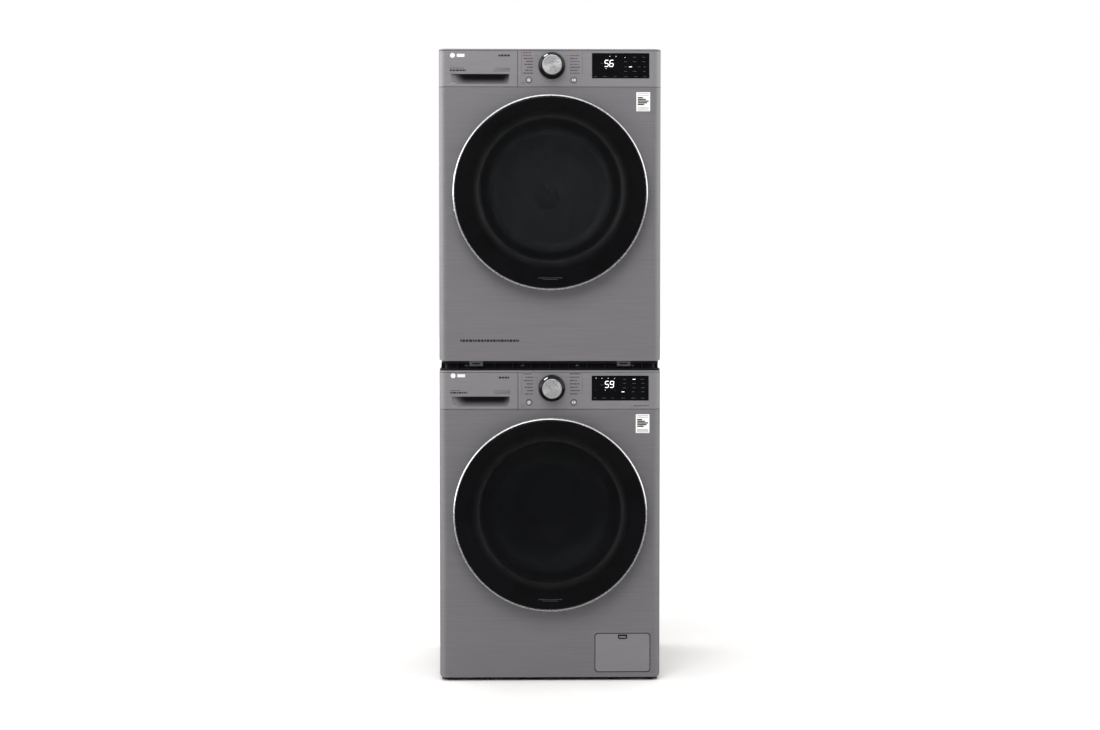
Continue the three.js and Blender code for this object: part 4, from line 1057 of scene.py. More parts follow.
def printing(machine, programmes, coloured):
    name, split = machine["name"], machine["split"]
    layer = (front - 0.05, front + 0.2)
    row = [split + programmes["top"] - k * programmes["pitch"] for k in range(programmes["rows"])]
    words, bold = [], []
    for k, z in enumerate(row):
        if ("left", k) not in coloured:
            words += wordDashes((-73 + (k * 7) % 12, -46), z, 2.7, 20 + k)
        if ("right", k) not in coloured:
            words += wordDashes((54, 84 - (k * 5) % 11), z, 2.7, 50 + k)
    for side, x in ((-1, -76.5), (1, 87.5)):  # the brackets round the programmes, led to the knob
        words.append(block((x - 0.25, x + 0.25), layer, (row[-1] - 3, row[0] + 3)))
        lead = sorted((control["knobX"] + side * 38, control["knobX"] + side * 46))
        words.append(block(lead, layer, (row[1] - 0.3, row[1] + 0.3)))
    words.append(prism(arcBand((-73, split + 9), 3.2, 3.9, 0, 360), layer))
    if name == "washer":
        words += wordDashes((228, 268), split + 9, 2.2, 7)
        bold += wordDashes((-270, -224), split + 45, 4.4, 8) + wordDashes((-270, -244), split + 51, 1.4, 9)
        bold += wordDashes((-139, -108), split + 86, 5.2, 10)
    else:
        bold += wordDashes((-270, -226), split + 44, 4.4, 11) + wordDashes((-270, -232), split + 50, 1.4, 12)
        bold += wordDashes((-139, -108), split + 84, 5.2, 13)
        makePiece("dryerPanelPrint", together(*wordDashes((-243, -84), 928, 6.6, 14)), darkInk, "casing")
    drawer = "washer_drawer" if name == "washer" else "dryer_tank"
    makePiece(name + "ConsolePrint", together(*words), greyInk, "casing")
    makePiece(name + "DrawerPrint", together(*bold, *iconBox((-151, -108), split + 46)), darkInk, drawer)
    for (side, k), ink in coloured.items():
        x = (-73, -50) if side == "left" else (54, 80)
        makePiece(f"{name}{side.title()}Programme{k}", together(*wordDashes(x, row[k], 2.6, 80 + k)), ink,
            "casing")
    rose = [block((-76.5, -46), layer, (row[0] + 3.6, row[0] + 4.1)), block((-49, -30), layer,
        (row[0] - 0.3, row[0] + 0.2))]
    makePiece(name + "RoseBracket", together(*rose), roseInk, "casing")
    z = split + (91 if name == "washer" else 84)
    badge = prism(arc((-262.5, z), 6.6, 0, 352, 44), (front - 0.5, front + 0.2))
    dimple = lathe([(0, front - 1), (4.4, front - 1), (3.6, front - 0.3), (0, front - 0.25)], (-262.5, z), 48)
    bar = prism(roundedBox((-251, -230), (z - 4.2, z + 4.2), 1.6), (front - 0.5, front + 0.2))
    makePiece(name + "Badge", together(carve(badge, dimple), bar), badgeInk, drawer, (), 0.12)


printing(washer, {"top": 96, "pitch": 9.1, "rows": 7}, {("left", 0): maroonInk})
printing(dryer, {"top": 92, "pitch": 7.9, "rows": 8}, {("left", 0): maroonInk, ("left", 1): maroonInk,
    ("right", 0): roseInk, ("right", 1): maroonInk, ("right", 3): violetInk, ("right", 4): violetInk,
    ("right", 7): maroonInk})


def sticker(machine):
    name = machine["name"]
    x, z = (233, 270), (machine["split"] - 65, machine["split"] - 14)
    sheetPaper = prism(roundedBox(x, z, 1.2), (front - 0.12, front + 0.1))
    makePiece(name + "Sticker", sheetPaper, paper, "casing", (), 0.04)
    y = (front - 0.18, front - 0.1)
    bars = []
    for k, length in enumerate((14, 22, 30, 26, 18)):  # a plain bar chart with rules above and below
        bars.append(dash((x[0] + 3.5, x[0] + 3.5 + length), z[1] - 14.5 - 4.6 * k, 3.6, y))
    bars += [dash((x[0] + 3, x[1] - 3), v, 1.1, y) for v in (z[0] + 3, z[0] + 6.2, z[0] + 9.4, z[1] - 4,
        z[1] - 8)]
    makePiece(name + "StickerPrint", together(*bars), darkInk, "casing")


sticker(washer)
sticker(dryer)
print("printing made")

# doors


def door(machine):
    name, z = machine["name"], machine["doorZ"]
    body = name + "_door"
    glass = edges(name + "_door_glass")
    radius, crown = glass["x"][1], glass["y"][0]
    ring = edges(name + "_door_ring")
    outer, ringY = ring["x"][1], ring["y"]
    band = [(radius + 0.5, ringY[0] + 3.2), (radius + 0.7, ringY[0] + 1), (radius + 1.3, ringY[0] + 0.2),
        (radius + 2.1, ringY[0] + 0.35), (outer - 0.5, ringY[0] + 2.2), (outer, ringY[0] + 3.4),
        (outer, ringY[1] - 0.6), (outer - 0.6, ringY[1]), (radius + 0.5, ringY[1])]
    makePiece(name + "DoorRing", lathe(band, (0, z), 192), chrome, body,
        [name + "_door_ring"], smooth=50)
    dome = curved([(0, crown), (60, crown + 0.25), (120, crown + 1), (200, crown + 4), (244, crown + 7.9),
        (radius - 1.6, crown + 9.2)], 5)
    back = [(radius, crown + 10.6), (radius, crown + 12.4), (228, crown + 10), (180, crown + 7.4),
        (120, crown + 5), (60, crown + 4.2), (0, crown + 4)]
    makePiece(name + "DoorGlass", lathe(dome + back, (0, z), 192), printedDoorGlass(machine), body,
        [name + "_door_glass"], smooth=50)
    words = wordDashes((-32, 32), z - 229, 2.2, 31, (crown + 6.3, crown + 7.2))
    words += wordDashes((-20, 20), z - 233, 1.6, 32, (crown + 6.5, crown + 7.4))
    makePiece(name + "DoorPrint", together(*words), dimGreyInk, body)
    bezelLine = [(243, crown + 15), (226, crown + 15.5), (212, crown + 18), (200, crown + 23),
        (192, crown + 30), (189.6, crown + 36)]
    bezel = lathe(shellProfile(bezelLine, 1.6), (0, machine["axisZ"]), 160)
    makePiece(name + "DoorBezel", bezel, greyPlastic, body, smooth=50)
    bright = lathe([(189.4, crown + 36), (188.2, crown + 35), (188.2, crown + 33.4), (189.2, crown + 32.6),
        (190.4, crown + 33.6)], (0, machine["axisZ"]), 160)
    makePiece(name + "DoorInnerRing", bright, chrome, body, smooth=60)


def shellProfile(line, wall):  # a bent sheet's section: along its line, then back at its thickness
    back = []
    for i, (r, w) in enumerate(line):
        before, after = line[max(0, i - 1)], line[min(len(line) - 1, i + 1)]
        run, rise = after[0] - before[0], after[1] - before[1]
        length = math.hypot(run, rise)
        back.append((max(0, r - wall * rise / length), w + wall * run / length))
    return line + back[::-1]


def doorPan(machine):  # the moulded back half of the door, with grip, latch hook and hinge knuckle
    name, z = machine["name"], machine["doorZ"]
    radius = edges(name + "_door_glass")["x"][1]
    rear = front - 4
    face = rear - 31
    pan = lathe([(0, face), (radius, face), (radius, rear - 5), (radius - 1.5, rear - 2),
        (radius - 5, rear), (0, rear)], (0, z), 160)
    hollow = rod(radius - 4, (face - 3, rear - 3), (0, z), 160)
    bowlHole = lathe([(0, rear - 8), (176, rear - 8), (176, rear - 1.6), (178.5, rear + 2), (0, rear + 2)],
        (0, machine["axisZ"]), 128)
    gripZ, gripFloor = (z - 52, z + 52), rear - 18
    gripWall = carve(block((219, 262), (gripFloor - 3, rear - 0.6), (z - 55, z + 55)),
        rod(radius - 1.3, (face - 4, rear + 4), (0.05, z), 144), how="INTERSECT")
    gripCut = prism(roundedBox((222, 275), gripZ, (14, 0, 0, 14)), (gripFloor, rear + 2))
    hingeGap = block((-268, -231), (face - 2, rear + 2), (z - 57, z + 57))
    pan = carve(pan, hollow, bowlHole)
    pan = carve(pan, gripWall, how="UNION")
    pan = carve(pan, hingeGap)
    pan = carve(pan, gripCut)
    hook = prism([(rear - 3, z - 8), (rear - 3, z + 3), (rear + 10.5, z + 3), (rear + 10.5, z + 8),
        (rear + 12, z + 9), (rear + 15.8, z + 1), (rear + 15.8, z - 8)], (214.2, 221.8), "x")
    hingeX, hingeY = -254, front - 23
    knuckle = rod(6, (z - 25, z + 25), (hingeX, hingeY), 40, "z")
    pin = rod(3, (z - 48, z + 48), (hingeX, hingeY), 24, "z")
    arm = block((hingeX, -228), (hingeY - 4, hingeY + 4), (z - 25, z + 25))
    plate = block((-231, -228), (face + 2, rear - 1), (z - 60, z + 60))
    pan = carve(pan, hook, knuckle, arm, plate, pin, how="UNION")
    makePiece(name + "DoorPan", pan, mattBlack, name + "_door", [name + "_door_frame"], 0.5)
    screws = []
    for k in range(8):  # self-tapping screws that hold the pan to the glass half
        angle = math.radians(22.5 + 45 * k)
        screws.append(crossScrew(3.6, rear + 0.9, (214 * math.sin(angle), z + 214 * math.cos(angle)), 1))
    makePiece(name + "DoorScrews", together(*screws), zinc, name + "_door", (), 0.12)


# a domed head with a cross recess; way +1 faces the rear
def crossScrew(radius, top, centre, way, depth=1.6):
    dome = [(0, top), (radius * 0.5, top - way * 0.15), (radius * 0.85, top - way * 0.6),
        (radius, top - way * 1.1), (radius, top - way * depth), (0, top - way * depth)]
    x, z = centre
    head = lathe(dome, centre, 24)
    slots = [block((x - a, x + a), sorted((top + way, top - way * 0.9)), (z - b, z + b)) for a,
        b in ((radius * 0.6, radius * 0.14), (radius * 0.14, radius * 0.6))]
    return carve(head, *slots)


def doorBowl(machine, outer, inner):
    name = machine["name"]
    flange = front - 7.4
    profile = [(184, flange - 3.6), (184, flange), (174, flange)] + curved(outer, 4) + curved(inner, 4) \
        + [(168, flange - 3.6)]
    makePiece(name + "DoorBowl", lathe(profile, (0, machine["axisZ"]), 144), bowlGlass, name + "_door",
        [name + "_door_bowl"], smooth=50)


for machine in machines:
    door(machine)
    doorPan(machine)
    bracket = copyOf(machine["name"] + "_hinge_bracket")
    makePiece(machine["name"] + "HingeBracket", bracket, zinc, "casing",
        [machine["name"] + "_hinge_bracket"], 0.5)
doorBowl(washer, [(171, -290), (170, -262), (162, -236), (148, -214), (120, -201), (60, -196), (0, -195)],
    [(0, -200), (60, -201), (117, -206), (143, -219), (157, -240), (165, -266), (166, -290)])
doorBowl(dryer, [(170, -292), (166, -275), (150, -261), (80, -255), (0, -254)],
    [(0, -259), (80, -260), (146, -266), (160, -279), (165, -292)])
print("doors made")

# gasket and drums


def gasket():
    line = [(182.4, -292.6), (199.2, -293), (199.2, -287), (191, -281), (190.6, -272), (191, -264),
        (185.6, -255), (190.6, -243), (191, -232), (191, -221), (182.8, -221), (182.8, -233), (186.6, -240),
        (181.4, -255), (186.6, -266), (184, -280), (181.6, -288)]
    smoothLine = [line[0], line[1], line[2]] + curved(line[2:10], 4) + curved(line[10:], 4)
    makePiece("washerGasket", lathe(smoothLine, (0, washer["axisZ"]), 144), greyRubber,
        "washer_suspended_tub", ["washer_gasket"], smooth=55,
        stretch=((0, -286, 0), (0, -233, 0)))


def perforated(place, cells, size, hole, depth):  # a sheet of cells with a round hole through each
    bm = bmesh.new()
    rim = [(1, 0), (1, 1), (0, 1), (-1, 1), (-1, 0), (-1, -1), (0, -1), (1, -1)]
    for u, v in cells:
        loops = []
        for w in (0, depth):
            loops.append([bm.verts.new(place(u + a * size[0] / 2, v + b * size[1] / 2, w)) for a, b in rim])
            loops.append([bm.verts.new(place(u + hole * math.cos(k * math.pi / 4),
                v + hole * math.sin(k * math.pi / 4), w)) for k in range(8)])
        cellIn, holeIn, cellOut, holeOut = loops
        for k in range(8):
            bm.faces.new((cellIn[k - 1], cellIn[k], holeIn[k], holeIn[k - 1]))
            bm.faces.new((cellOut[k], cellOut[k - 1], holeOut[k - 1], holeOut[k]))
            bm.faces.new((holeIn[k - 1], holeIn[k], holeOut[k], holeOut[k - 1]))
    bmesh.ops.remove_doubles(bm, verts=bm.verts, dist=0.02)
    return bm


def lifterBar(drum, height, ends, angle):  # a hollow-backed bar along the inside of a drum
    radius, axis = drum["radius"], drum["axisZ"]
    crest = radius - height
    side = [(24, radius - 1.4), (19, radius - height * 0.35), (15, radius - height * 0.7), (11, crest + 3),
        (6, crest)]
    section = curved(side, 3)
    outline = section + [(-u, v) for u, v in section[::-1]]
    bar = prism([(u, axis + v) for u, v in outline], ends)
    return turnedAbout(bar, angle, (0, axis))


def washerDrum():
    look = {"pitch": 14.2, "hole": 2.6, "wall": 1.2, "lifter": 45}
    drumBox = edges("washer_drum")
    radius, axis, frontY = drumBox["x"][1], washer["axisZ"], drumBox["y"][0]
    rear = 124
    inside = radius - look["wall"]
    around = round(2 * math.pi * inside / look["pitch"])
    step = 2 * math.pi * inside / around
    rows = 20
    start = frontY + 20 + look["pitch"] / 2
    cells = [(i * step, start + j * look["pitch"]) for i in range(around) for j in range(rows)]
    place = lambda u, v, w: ((inside + w) * math.sin(u / inside), v,
        axis + (inside + w) * math.cos(u / inside))
    wall = perforated(place, cells, (step, look["pitch"]), look["hole"], look["wall"])
    low, high = frontY + 20, frontY + 20 + rows * look["pitch"]
    frontLine = [(inside, low), (inside, frontY + 8), (inside - 4, frontY + 2.4),
        (inside - 9, frontY + 1.4), (185, frontY + 1.4), (178, frontY + 2.2), (174, frontY + 5),
        (172.4, frontY + 9)]
    rearLine = [(0, rear - 6), (60, rear - 6), (82, rear - 3), (100, rear - 14), (150, rear - 18),
        (200, rear - 14), (inside - 10, rear - 6), (inside - 2, rear - 8), (inside, rear - 14),
        (inside, high)]
    frontEnd = lathe(shellProfile(frontLine[::-1], -1.0), (0, axis), 105)
    rearEnd = lathe(shellProfile(curved(rearLine[:7], 4) + rearLine[7:], 1.0), (0, axis), 105)
    stack = together(wall, frontEnd, rearEnd)
    makePiece("washerDrumShell", stack, stainless, "washer_drum", ["washer_drum"], smooth=40)
    drum = {"radius": inside, "axisZ": axis}
    bars = [lifterBar(drum, look["lifter"], (frontY + 22, rear - 20), a) for a in (0, 120, 240)]
    makePiece("washerLifters", together(*bars), greyPlastic, "washer_drum", (), 2.0, 3)
    arms = []
    for a in (60, 180, 300):  # the cast spider that carries the drum on its shaft
        arm = prism([(-9, axis + 222), (-15, axis + 20), (15, axis + 20), (9, axis + 222)],
            (rear + 2, rear + 11))
        web = prism([(-3, axis + 200), (-3, axis + 20), (3, axis + 20), (3, axis + 200)],
            (rear - 1, rear + 2.5))
        arms += [turnedAbout(arm, a, (0, axis)), turnedAbout(web, a, (0, axis))]
    hub = lathe([(0, rear - 2), (34, rear - 2), (40, rear + 2), (38, rear + 12), (22, rear + 17),
        (0, rear + 17)], (0, axis), 64)
    makePiece("washerDrumSpider", together(*arms, hub), castAluminium, "washer_drum", (), 1.0)


def dryerDrum():
    look = {"pitch": 6.6, "field": 139, "rim": 146, "hub": 38, "spoke": 10, "wall": 1.2, "lifter": 55}
    drumBox = edges("dryer_drum")
    radius, axis, frontY = drumBox["x"][1], dryer["axisZ"], drumBox["y"][0]
    rear = 224
    inside = radius - look["wall"]
    bead = lambda y: [(inside, y - 7), (inside + 0.5, y - 4), (inside - 2.2, y), (inside + 0.5, y + 4),
        (inside, y + 7)]
    line = [(228.6, frontY + 10), (229, frontY + 4), (232, frontY + 1.6), (240, frontY + 1.4),
        (inside - 8, frontY + 1.4), (inside - 2, frontY + 4), (inside, frontY + 10)]
    for y in (frontY + 60, frontY + 130, frontY + 290, frontY + 360):
        line += bead(y)
    line += [(inside, rear - 16), (inside - 2, rear - 8), (inside - 8, rear - 4), (220, rear - 5),
        (180, rear - 12), (158, rear - 14), (151, rear - 12), (look["rim"], rear - 6), (140, rear - 3.4),
        (0, rear - 3.4)]
    shell = lathe(shellProfile(line[::-1], -1.1), (0, axis), 144)
    makePiece("dryerDrumShell", shell, stainless, "dryer_drum", ["dryer_drum"], smooth=40)
    face = rear - 3.4
    rim = lathe([(look["rim"] - 5.5, face + 0.6), (look["rim"] - 4.6, face - 2),
        (look["rim"] - 2.4, face - 3.4), (look["rim"] - 0.4, face - 2.2), (look["rim"] + 0.6, face + 0.6)],
        (0, axis), 128)
    rings = int((look["field"] - look["hub"] - 6) / look["pitch"])
    field = bmesh.new()
    for ring in range(rings + 1):
        r = look["hub"] + 6 + ring * look["pitch"]
        count = int(2 * math.pi * r / look["pitch"])
        for k in range(count):
            angle = 2 * math.pi * (k + 0.5 * (ring % 2)) / count
            x, z = r * math.sin(angle), r * math.cos(angle)
            onSpoke = min(abs(r * math.sin(angle - math.radians(a)))
                if math.cos(angle - math.radians(a)) > 0 else 99 for a in (0, 120,
                240)) < look["spoke"] + 2.5
            if onSpoke:
                continue
            rimRing, topRing = [], []
            for s in range(8):
                turn = s * math.pi / 4
                rimRing.append(field.verts.new((x + 1.9 * math.sin(turn), face + 0.3,
                    axis + z + 1.9 * math.cos(turn))))
                topRing.append(field.verts.new((x + 1.7 * math.sin(turn), face - 0.4,
                    axis + z + 1.7 * math.cos(turn))))
            for s in range(8):
                field.faces.new((rimRing[s - 1], rimRing[s], topRing[s], topRing[s - 1]))
            field.faces.new(topRing)
            field.faces.new(rimRing[::-1])
    spokes = []
    for a in (0, 120, 240):
        bar = prism([(-look["spoke"], axis + look["hub"] - 8), (-look["spoke"], axis + look["rim"] - 5),
            (look["spoke"], axis + look["rim"] - 5), (look["spoke"], axis + look["hub"] - 8)],
            (face - 1.2, face + 0.4))
        crest = prism([(-3, axis + look["hub"] - 8), (-2.2, axis + look["rim"] - 6),
            (2.2, axis + look["rim"] - 6), (3, axis + look["hub"] - 8)], (face - 4.2, face))
        spokes += [turnedAbout(bar, a, (0, axis)), turnedAbout(crest, a, (0, axis))]
    makePiece("dryerDrumRearPressing", together(rim, *spokes), stainless, "dryer_drum")
    # painted shade: the air holes are black enamel discs, dark for the unlit space seen through each hole
    makePiece("dryerDrumAirHoleShade", field, enamel, "dryer_drum")
    hub = lathe([(0, face - 5), (8, face - 5), (10.6, face - 4), (11.4, face - 2.6), (16, face - 2.2),
        (30, face - 2.4), (35.5, face - 3.4), (38, face - 2.2), (39, face + 0.4), (0, face + 0.4)],
        (0, axis), 96)
    petals = []
    for k in range(9):
        big = k % 3 == 0
        petal = prism([(x, axis + 23 + y) for x, y in arc((0, 0), 6.2 if big else 3.4, 0, 330, 11)],
            (face - (6.5 if big else 4.6), face - 1))
        petals.append(turnedAbout(petal, 40 * k, (0, axis)))
    makePiece("dryerDrumHub", together(hub, *petals), castAluminium, "dryer_drum", (), 0.7, 3)
    drum = {"radius": inside, "axisZ": axis}
    bars = [lifterBar(drum, look["lifter"], (frontY + 32, rear - 18), a) for a in (60, 180, 300)]
    makePiece("dryerLifters", together(*bars), stainless, "dryer_drum", (), 3.0, 3)


def castAluminiumFinish():
    # Die-cast aluminium: dull silver with a slightly grainy skin.
    kit = startMaterial("dieCastAluminium", "a3a5a7", 0.48, {"Metallic": 0.95})
    addGrain(kit, 12.0, 0.0, ("989a9c", "afb1b3"), (0.42, 0.56))
    addGrain(kit, 1.4, 0.05)
    return kit["material"]


castAluminium = castAluminiumFinish()
gasket()
washerDrum()
dryerDrum()
print("drums made")

# washer: flap, filter, feet and base


def filterFlap():
    look = {"round": 8, "thick": 3, "slot": (185.5, 210.5), "slotZ": (113.6, 126)}
    flap = edges("washer_filter_flap")
    plate = prism(roundedBox([v - s for v, s in zip(flap["x"], (-1.2, 1.2))],
        [v - s for v, s in zip(flap["z"], (-1.2, 1.2))], look["round"], 8), (front, front + look["thick"]))
    plate = carve(plate, prism(roundedBox(look["slot"], look["slotZ"], (4, 4, 1, 1)), (front - 2, front + 6)))
    lugs = []
    for x in (flap["x"][0] + 17, flap["x"][1] - 27):
        eye = prism(arc((front + 8.2, flap["z"][0] + 8), 4.6, -90, 90, 8) + [(front + 2.6,
            flap["z"][0] + 12.6), (front + 2.6, flap["z"][0] + 3.4)], (x, x + 10), "x")
        lugs.append(carve(eye, rod(1.6, (x - 2, x + 12), (front + 8.2, flap["z"][0] + 8), 20, "x")))
    makePiece("washerFilterFlap", together(plate, *lugs), mouldedGraphite, "washer_flap",
        ["washer_filter_flap"], 1.1, 3)
    cup = prism(roundedBox((look["slot"][0] - 1, look["slot"][1] + 1), (look["slotZ"][0] - 1,
        look["slotZ"][1] + 1), (5, 5, 2, 2)), (front + 0.6, front + 9))
    hollow = prism(roundedBox(look["slot"], look["slotZ"], (4, 4, 1, 1)), (front - 1, front + 8))
    bar = prism(roundedBox((look["slot"][0] + 3, look["slot"][1] - 3), (116.4, 121), (1.6, 1.6, 1, 1)),
        (front + 1.6, front + 8.2))
    makePiece("washerFlapLatchCup", carve(cup, hollow), mattBlack, "washer_flap", (), 0.3)
    makePiece("washerFlapLatchBar", bar, mouldedGraphite, "washer_flap", (), 0.5)


def filterBay():  # the moulded pocket behind the flap, with the filter's ring and a spout channel
    x, z = (124, 271.5), (23.4, 127.8)
    cx, cz = middle("washer_drain_filter", "x"), middle("washer_drain_filter", "z")
    pocket = carve(prism(roundedBox(x, z, 8, 8), (front + 3.6, front + 22)),
        prism(roundedBox((x[0] + 1.6, x[1] - 1.6), (z[0] + 1, z[1] - 1.6), 6.8, 8), (front, front + 20)))
    ring = pipe(34.4, 37.5, (front + 14, front + 22), (cx, cz), 72)
    pocket = carve(pocket, rod(35, (front + 10, front + 26), (cx, cz), 72))
    hose = [(250, front + 14, 60), (250, front + 15, 84), (247, front + 15, 104), (238, front + 15, 110)]
    makePiece("washerFilterBay", together(pocket, ring), mattBlack, "casing", (), 0.5)
    makePiece("washerDrainTube", sweep(curved(hose, 6), 4, 16), darkRubber, "casing")
    plug = rod(5.2, (104, 112), (235, front + 15), 24, "z")
    makePiece("washerDrainTubePlug", plug, whitePlastic, "casing", (), 0.8)


def drainFilter():
    x, z = middle("washer_drain_filter", "x"), middle("washer_drain_filter", "z")
    face = edges("washer_drain_filter")["y"][0] + 7
    head = lathe([(0, face + 1.2), (20, face + 1.2), (22, face + 0.2), (27, face), (28.4, face + 1.2),
        (28.4, face + 14), (24, face + 16), (24, face + 20), (0, face + 20)], (x, z), 96, ribs=24,
        ribDepth=0.008)
    grip = prism(roundedBox((x - 22, x + 22), (z - 4, z + 4), 3.6, 6), (face - 6.8, face + 3))
    finger = prism(roundedBox((x - 15, x + 15), (z - 1, z + 1), 1), (face - 8, face - 5.4))
    grip = carve(grip, finger)
    fingers = []
    for k in range(12):  # the cage that catches coins and fluff
        angle = 2 * math.pi * k / 12
        px, pz = x + 21 * math.sin(angle), z + 21 * math.cos(angle)
        fingers.append(rod(1.5, (face + 19, face + 72), (px, pz), 12))
    hoops = [pipe(18.6, 22.8, (face + y, face + y + 2.4), (x, z), 48) for y in (36, 54, 71)]
    makePiece("washerDrainFilter", together(head, grip, *fingers, *hoops), whitePlastic, "washer_filter",
        ["washer_drain_filter"], 0.4)


def foot(part, body):
    look = {"pitch": 1.5, "thread": 0.55, "nut": 8.5, "nutLow": 10.2, "nutHigh": 15}
    x, y = middle(part, "x"), middle(part, "y")
    radius, top = edges(part)["x"][1] - x, edges(part)["z"][1]
    pad = lathe([(0, 0), (radius - 3, 0), (radius - 1, 0.6), (radius, 2), (radius - 0.3, 5),
        (radius - 2, 8), (radius - 5, 9), (7, 9.2), (6, 10.2), (0, 10.2)], (x, y), 72, "z", 24, 0.006)
    makePiece(f"{body}Pad", pad, darkRubber, body, (), 0.2)
    hexagon = prism([(x + look["nut"] * math.cos(a * math.pi / 3),
        y + look["nut"] * math.sin(a * math.pi / 3)) for a in range(6)], (look["nutLow"], look["nutHigh"]),
        "z")
    thread = [(0, 9)]
    turns = int((top - 10.5) / look["pitch"])
    for k in range(turns):
        z = 10 + k * look["pitch"]
        thread += [(5 - look["thread"], z), (5, z + look["pitch"] / 2)]
    thread += [(4.2, top), (0, top)]
    makePiece(f"{body}Stud", together(hexagon, lathe(thread, (x, y), 32, "z")), zinc, body,
        [part], 0.15)


def washerBase():
    makePiece("washerBase", copyOf("washer_base"), mattBlack, "casing", ["washer_base"],
        0.7)
    ribs = []
    for k in range(9):  # stiffening webs across the base plate
        x = -240 + 60 * k
        ribs.append(prism([(-250, 22.9), (230, 22.9), (230, 30), (-250, 30)], (x - 1.1, x + 1.1), "x"))
    ribs += [prism([(-270, 22.9), (270, 22.9), (270, 29), (-270, 29)], (y - 1.1, y + 1.1))
        for y in (-200, -80, 60, 180)]
    makePiece("washerBaseWebs", together(*ribs), mattBlack, "casing", (), 0.3)


filterFlap()
filterBay()
drainFilter()
for place in ("front_left", "front_right", "rear_left", "rear_right"):
    foot("washer_foot_" + place, "washer_foot_" + place)
washerBase()
print("washer underside made")

# washer: drawer, tub, drive and water


def washerDrawer():
    tray = carve(copyOf("washer_drawer_tray"), prism(roundedBox((-262, -238), (800, 840), 4), (-30, -20)))
    makePiece("washerDetergentTray", tray, whitePlastic, "washer_drawer",
        ["washer_drawer_tray"], 0.6)
    box = edges("washer_drawer_tray")
    lid = prism(roundedBox((-219, -163), (-252, -176), 6), (box["z"][1] - 13, box["z"][1] - 9), "z")
    rim = carve(prism(roundedBox((-221, -161), (-254, -174), 7), (box["z"][1] - 10, box["z"][1] - 7), "z"),
        prism(roundedBox((-218, -164), (-251, -177), 5), (box["z"][1] - 12, box["z"][1] - 5), "z"))
    tube = rod(7, (box["z"][1] - 60, box["z"][1] - 9), (-191, -200), 32, "z")
    tab = prism(roundedBox((-203, -179), (-262, -250), 4), (box["z"][1] - 9.4, box["z"][1] - 7.2), "z")
    makePiece("washerSiphonLid", together(lid, rim, tube, tab), siphonBlue, "washer_drawer",
        (), 0.7)


def dispenser():
    housing = edges("washer_dispenser")
    x, z = (-290, -90.5), (housing["z"][0], housing["z"][1])
    frontY = housing["y"][0]
    shell = carve(block(x, (frontY, -8), z), block((x[0] + 2.5, x[1] - 2.5), (frontY - 4, -10.5),
        (z[0] + 2.5, z[1] - 2.5)))
    duct = rod(12, (-9, 244), (-190, 800), 32)
    valve = prism(roundedBox((-230, -150), (780, 820), 5), (236, 262))
    coils = [rod(13, (206, 237), (u, 800), 32) for u in (-212, -168)]
    makePiece("washerDispenser", together(shell, duct, valve, *coils), whitePlastic, "casing",
        ["washer_dispenser"], 0.5)
    for u, ink, word in ((-212, maroonInk, "Hot"), (-168, violetInk, "Cold")):
        profile = [(8.6, 262), (12.2, 262)]
        for k in range(8):
            profile += [(11.9, 264 + k * 2.4), (13, 265.2 + k * 2.4)]
        profile += [(11.4, 287.6), (8.6, 287.6)]
        makePiece(f"washer{word}Spigot", lathe(profile, (u, 800), 48), whitePlastic, "casing",
            (), 0.1)
        collar = pipe(14.2, 15.4, (263.4, 266), (u, 800), 48)
        makePiece(f"washer{word}Collar", collar, ink, "casing", (), 0.3)
        strainer = rod(8.7, (270, 271), (u, 800), 32)
        makePiece(f"washer{word}Strainer", strainer, lintCloth, "casing", (), 0.1)


def tub():
    axis = washer["axisZ"]
    body = copyOf("washer_tub")
    ribs = [pipe(255, 258.5, (y, y + 3), (0, axis), 120) for y in (-196, -120, -40, 40, 120)]
    for k in range(24):  # webs on the rear wall carry the bearing load out to the rim
        web = block((-1.5, 1.5), (151.5, 164), (axis + 40, axis + 236))
        ribs.append(turnedAbout(web, 15 * k + 7.5, (0, axis)))
    makePiece("washerTub", together(body, *ribs), greyPlastic, "washer_suspended_tub",
        ["washer_tub"], 0.8)
    clamp = lathe([(256.4, -205), (261, -204), (262, -200), (261, -196), (256.4, -195)], (0, axis), 144)
    makePiece("washerTubClamp", clamp, zinc, "washer_suspended_tub")


def counterweight():
    axis = washer["axisZ"]
    y = edges("washer_counterweight")["y"]
    ring = lathe([(201, y[0]), (245, y[0]), (248, y[0] + 4), (248, y[1]), (198, y[1]), (198, y[0] + 4)],
        (0, axis), 120)
    bolts, holes = [], []
    for k in range(6):
        angle = math.radians(30 + 60 * k)
        spot = (223 * math.sin(angle), axis + 223 * math.cos(angle))
        holes.append(rod(11, (y[0] - 2, y[0] + 9), spot, 32))
        bolts.append(together(rod(9.5, (y[0] + 7.4, y[0] + 9), spot, 32),
            prism([(spot[0] + 6.5 * math.cos(a * math.pi / 3), spot[1] + 6.5 * math.sin(a * math.pi / 3))
            for a in range(6)], (y[0] + 2.6, y[0] + 7.5))))
    makePiece("washerCounterweight", carve(ring, *holes), concrete, "washer_suspended_tub",
        ["washer_counterweight"], 1.2, 3)
    makePiece("washerWeightBolts", together(*bolts), zinc, "washer_suspended_tub", (), 0.4)


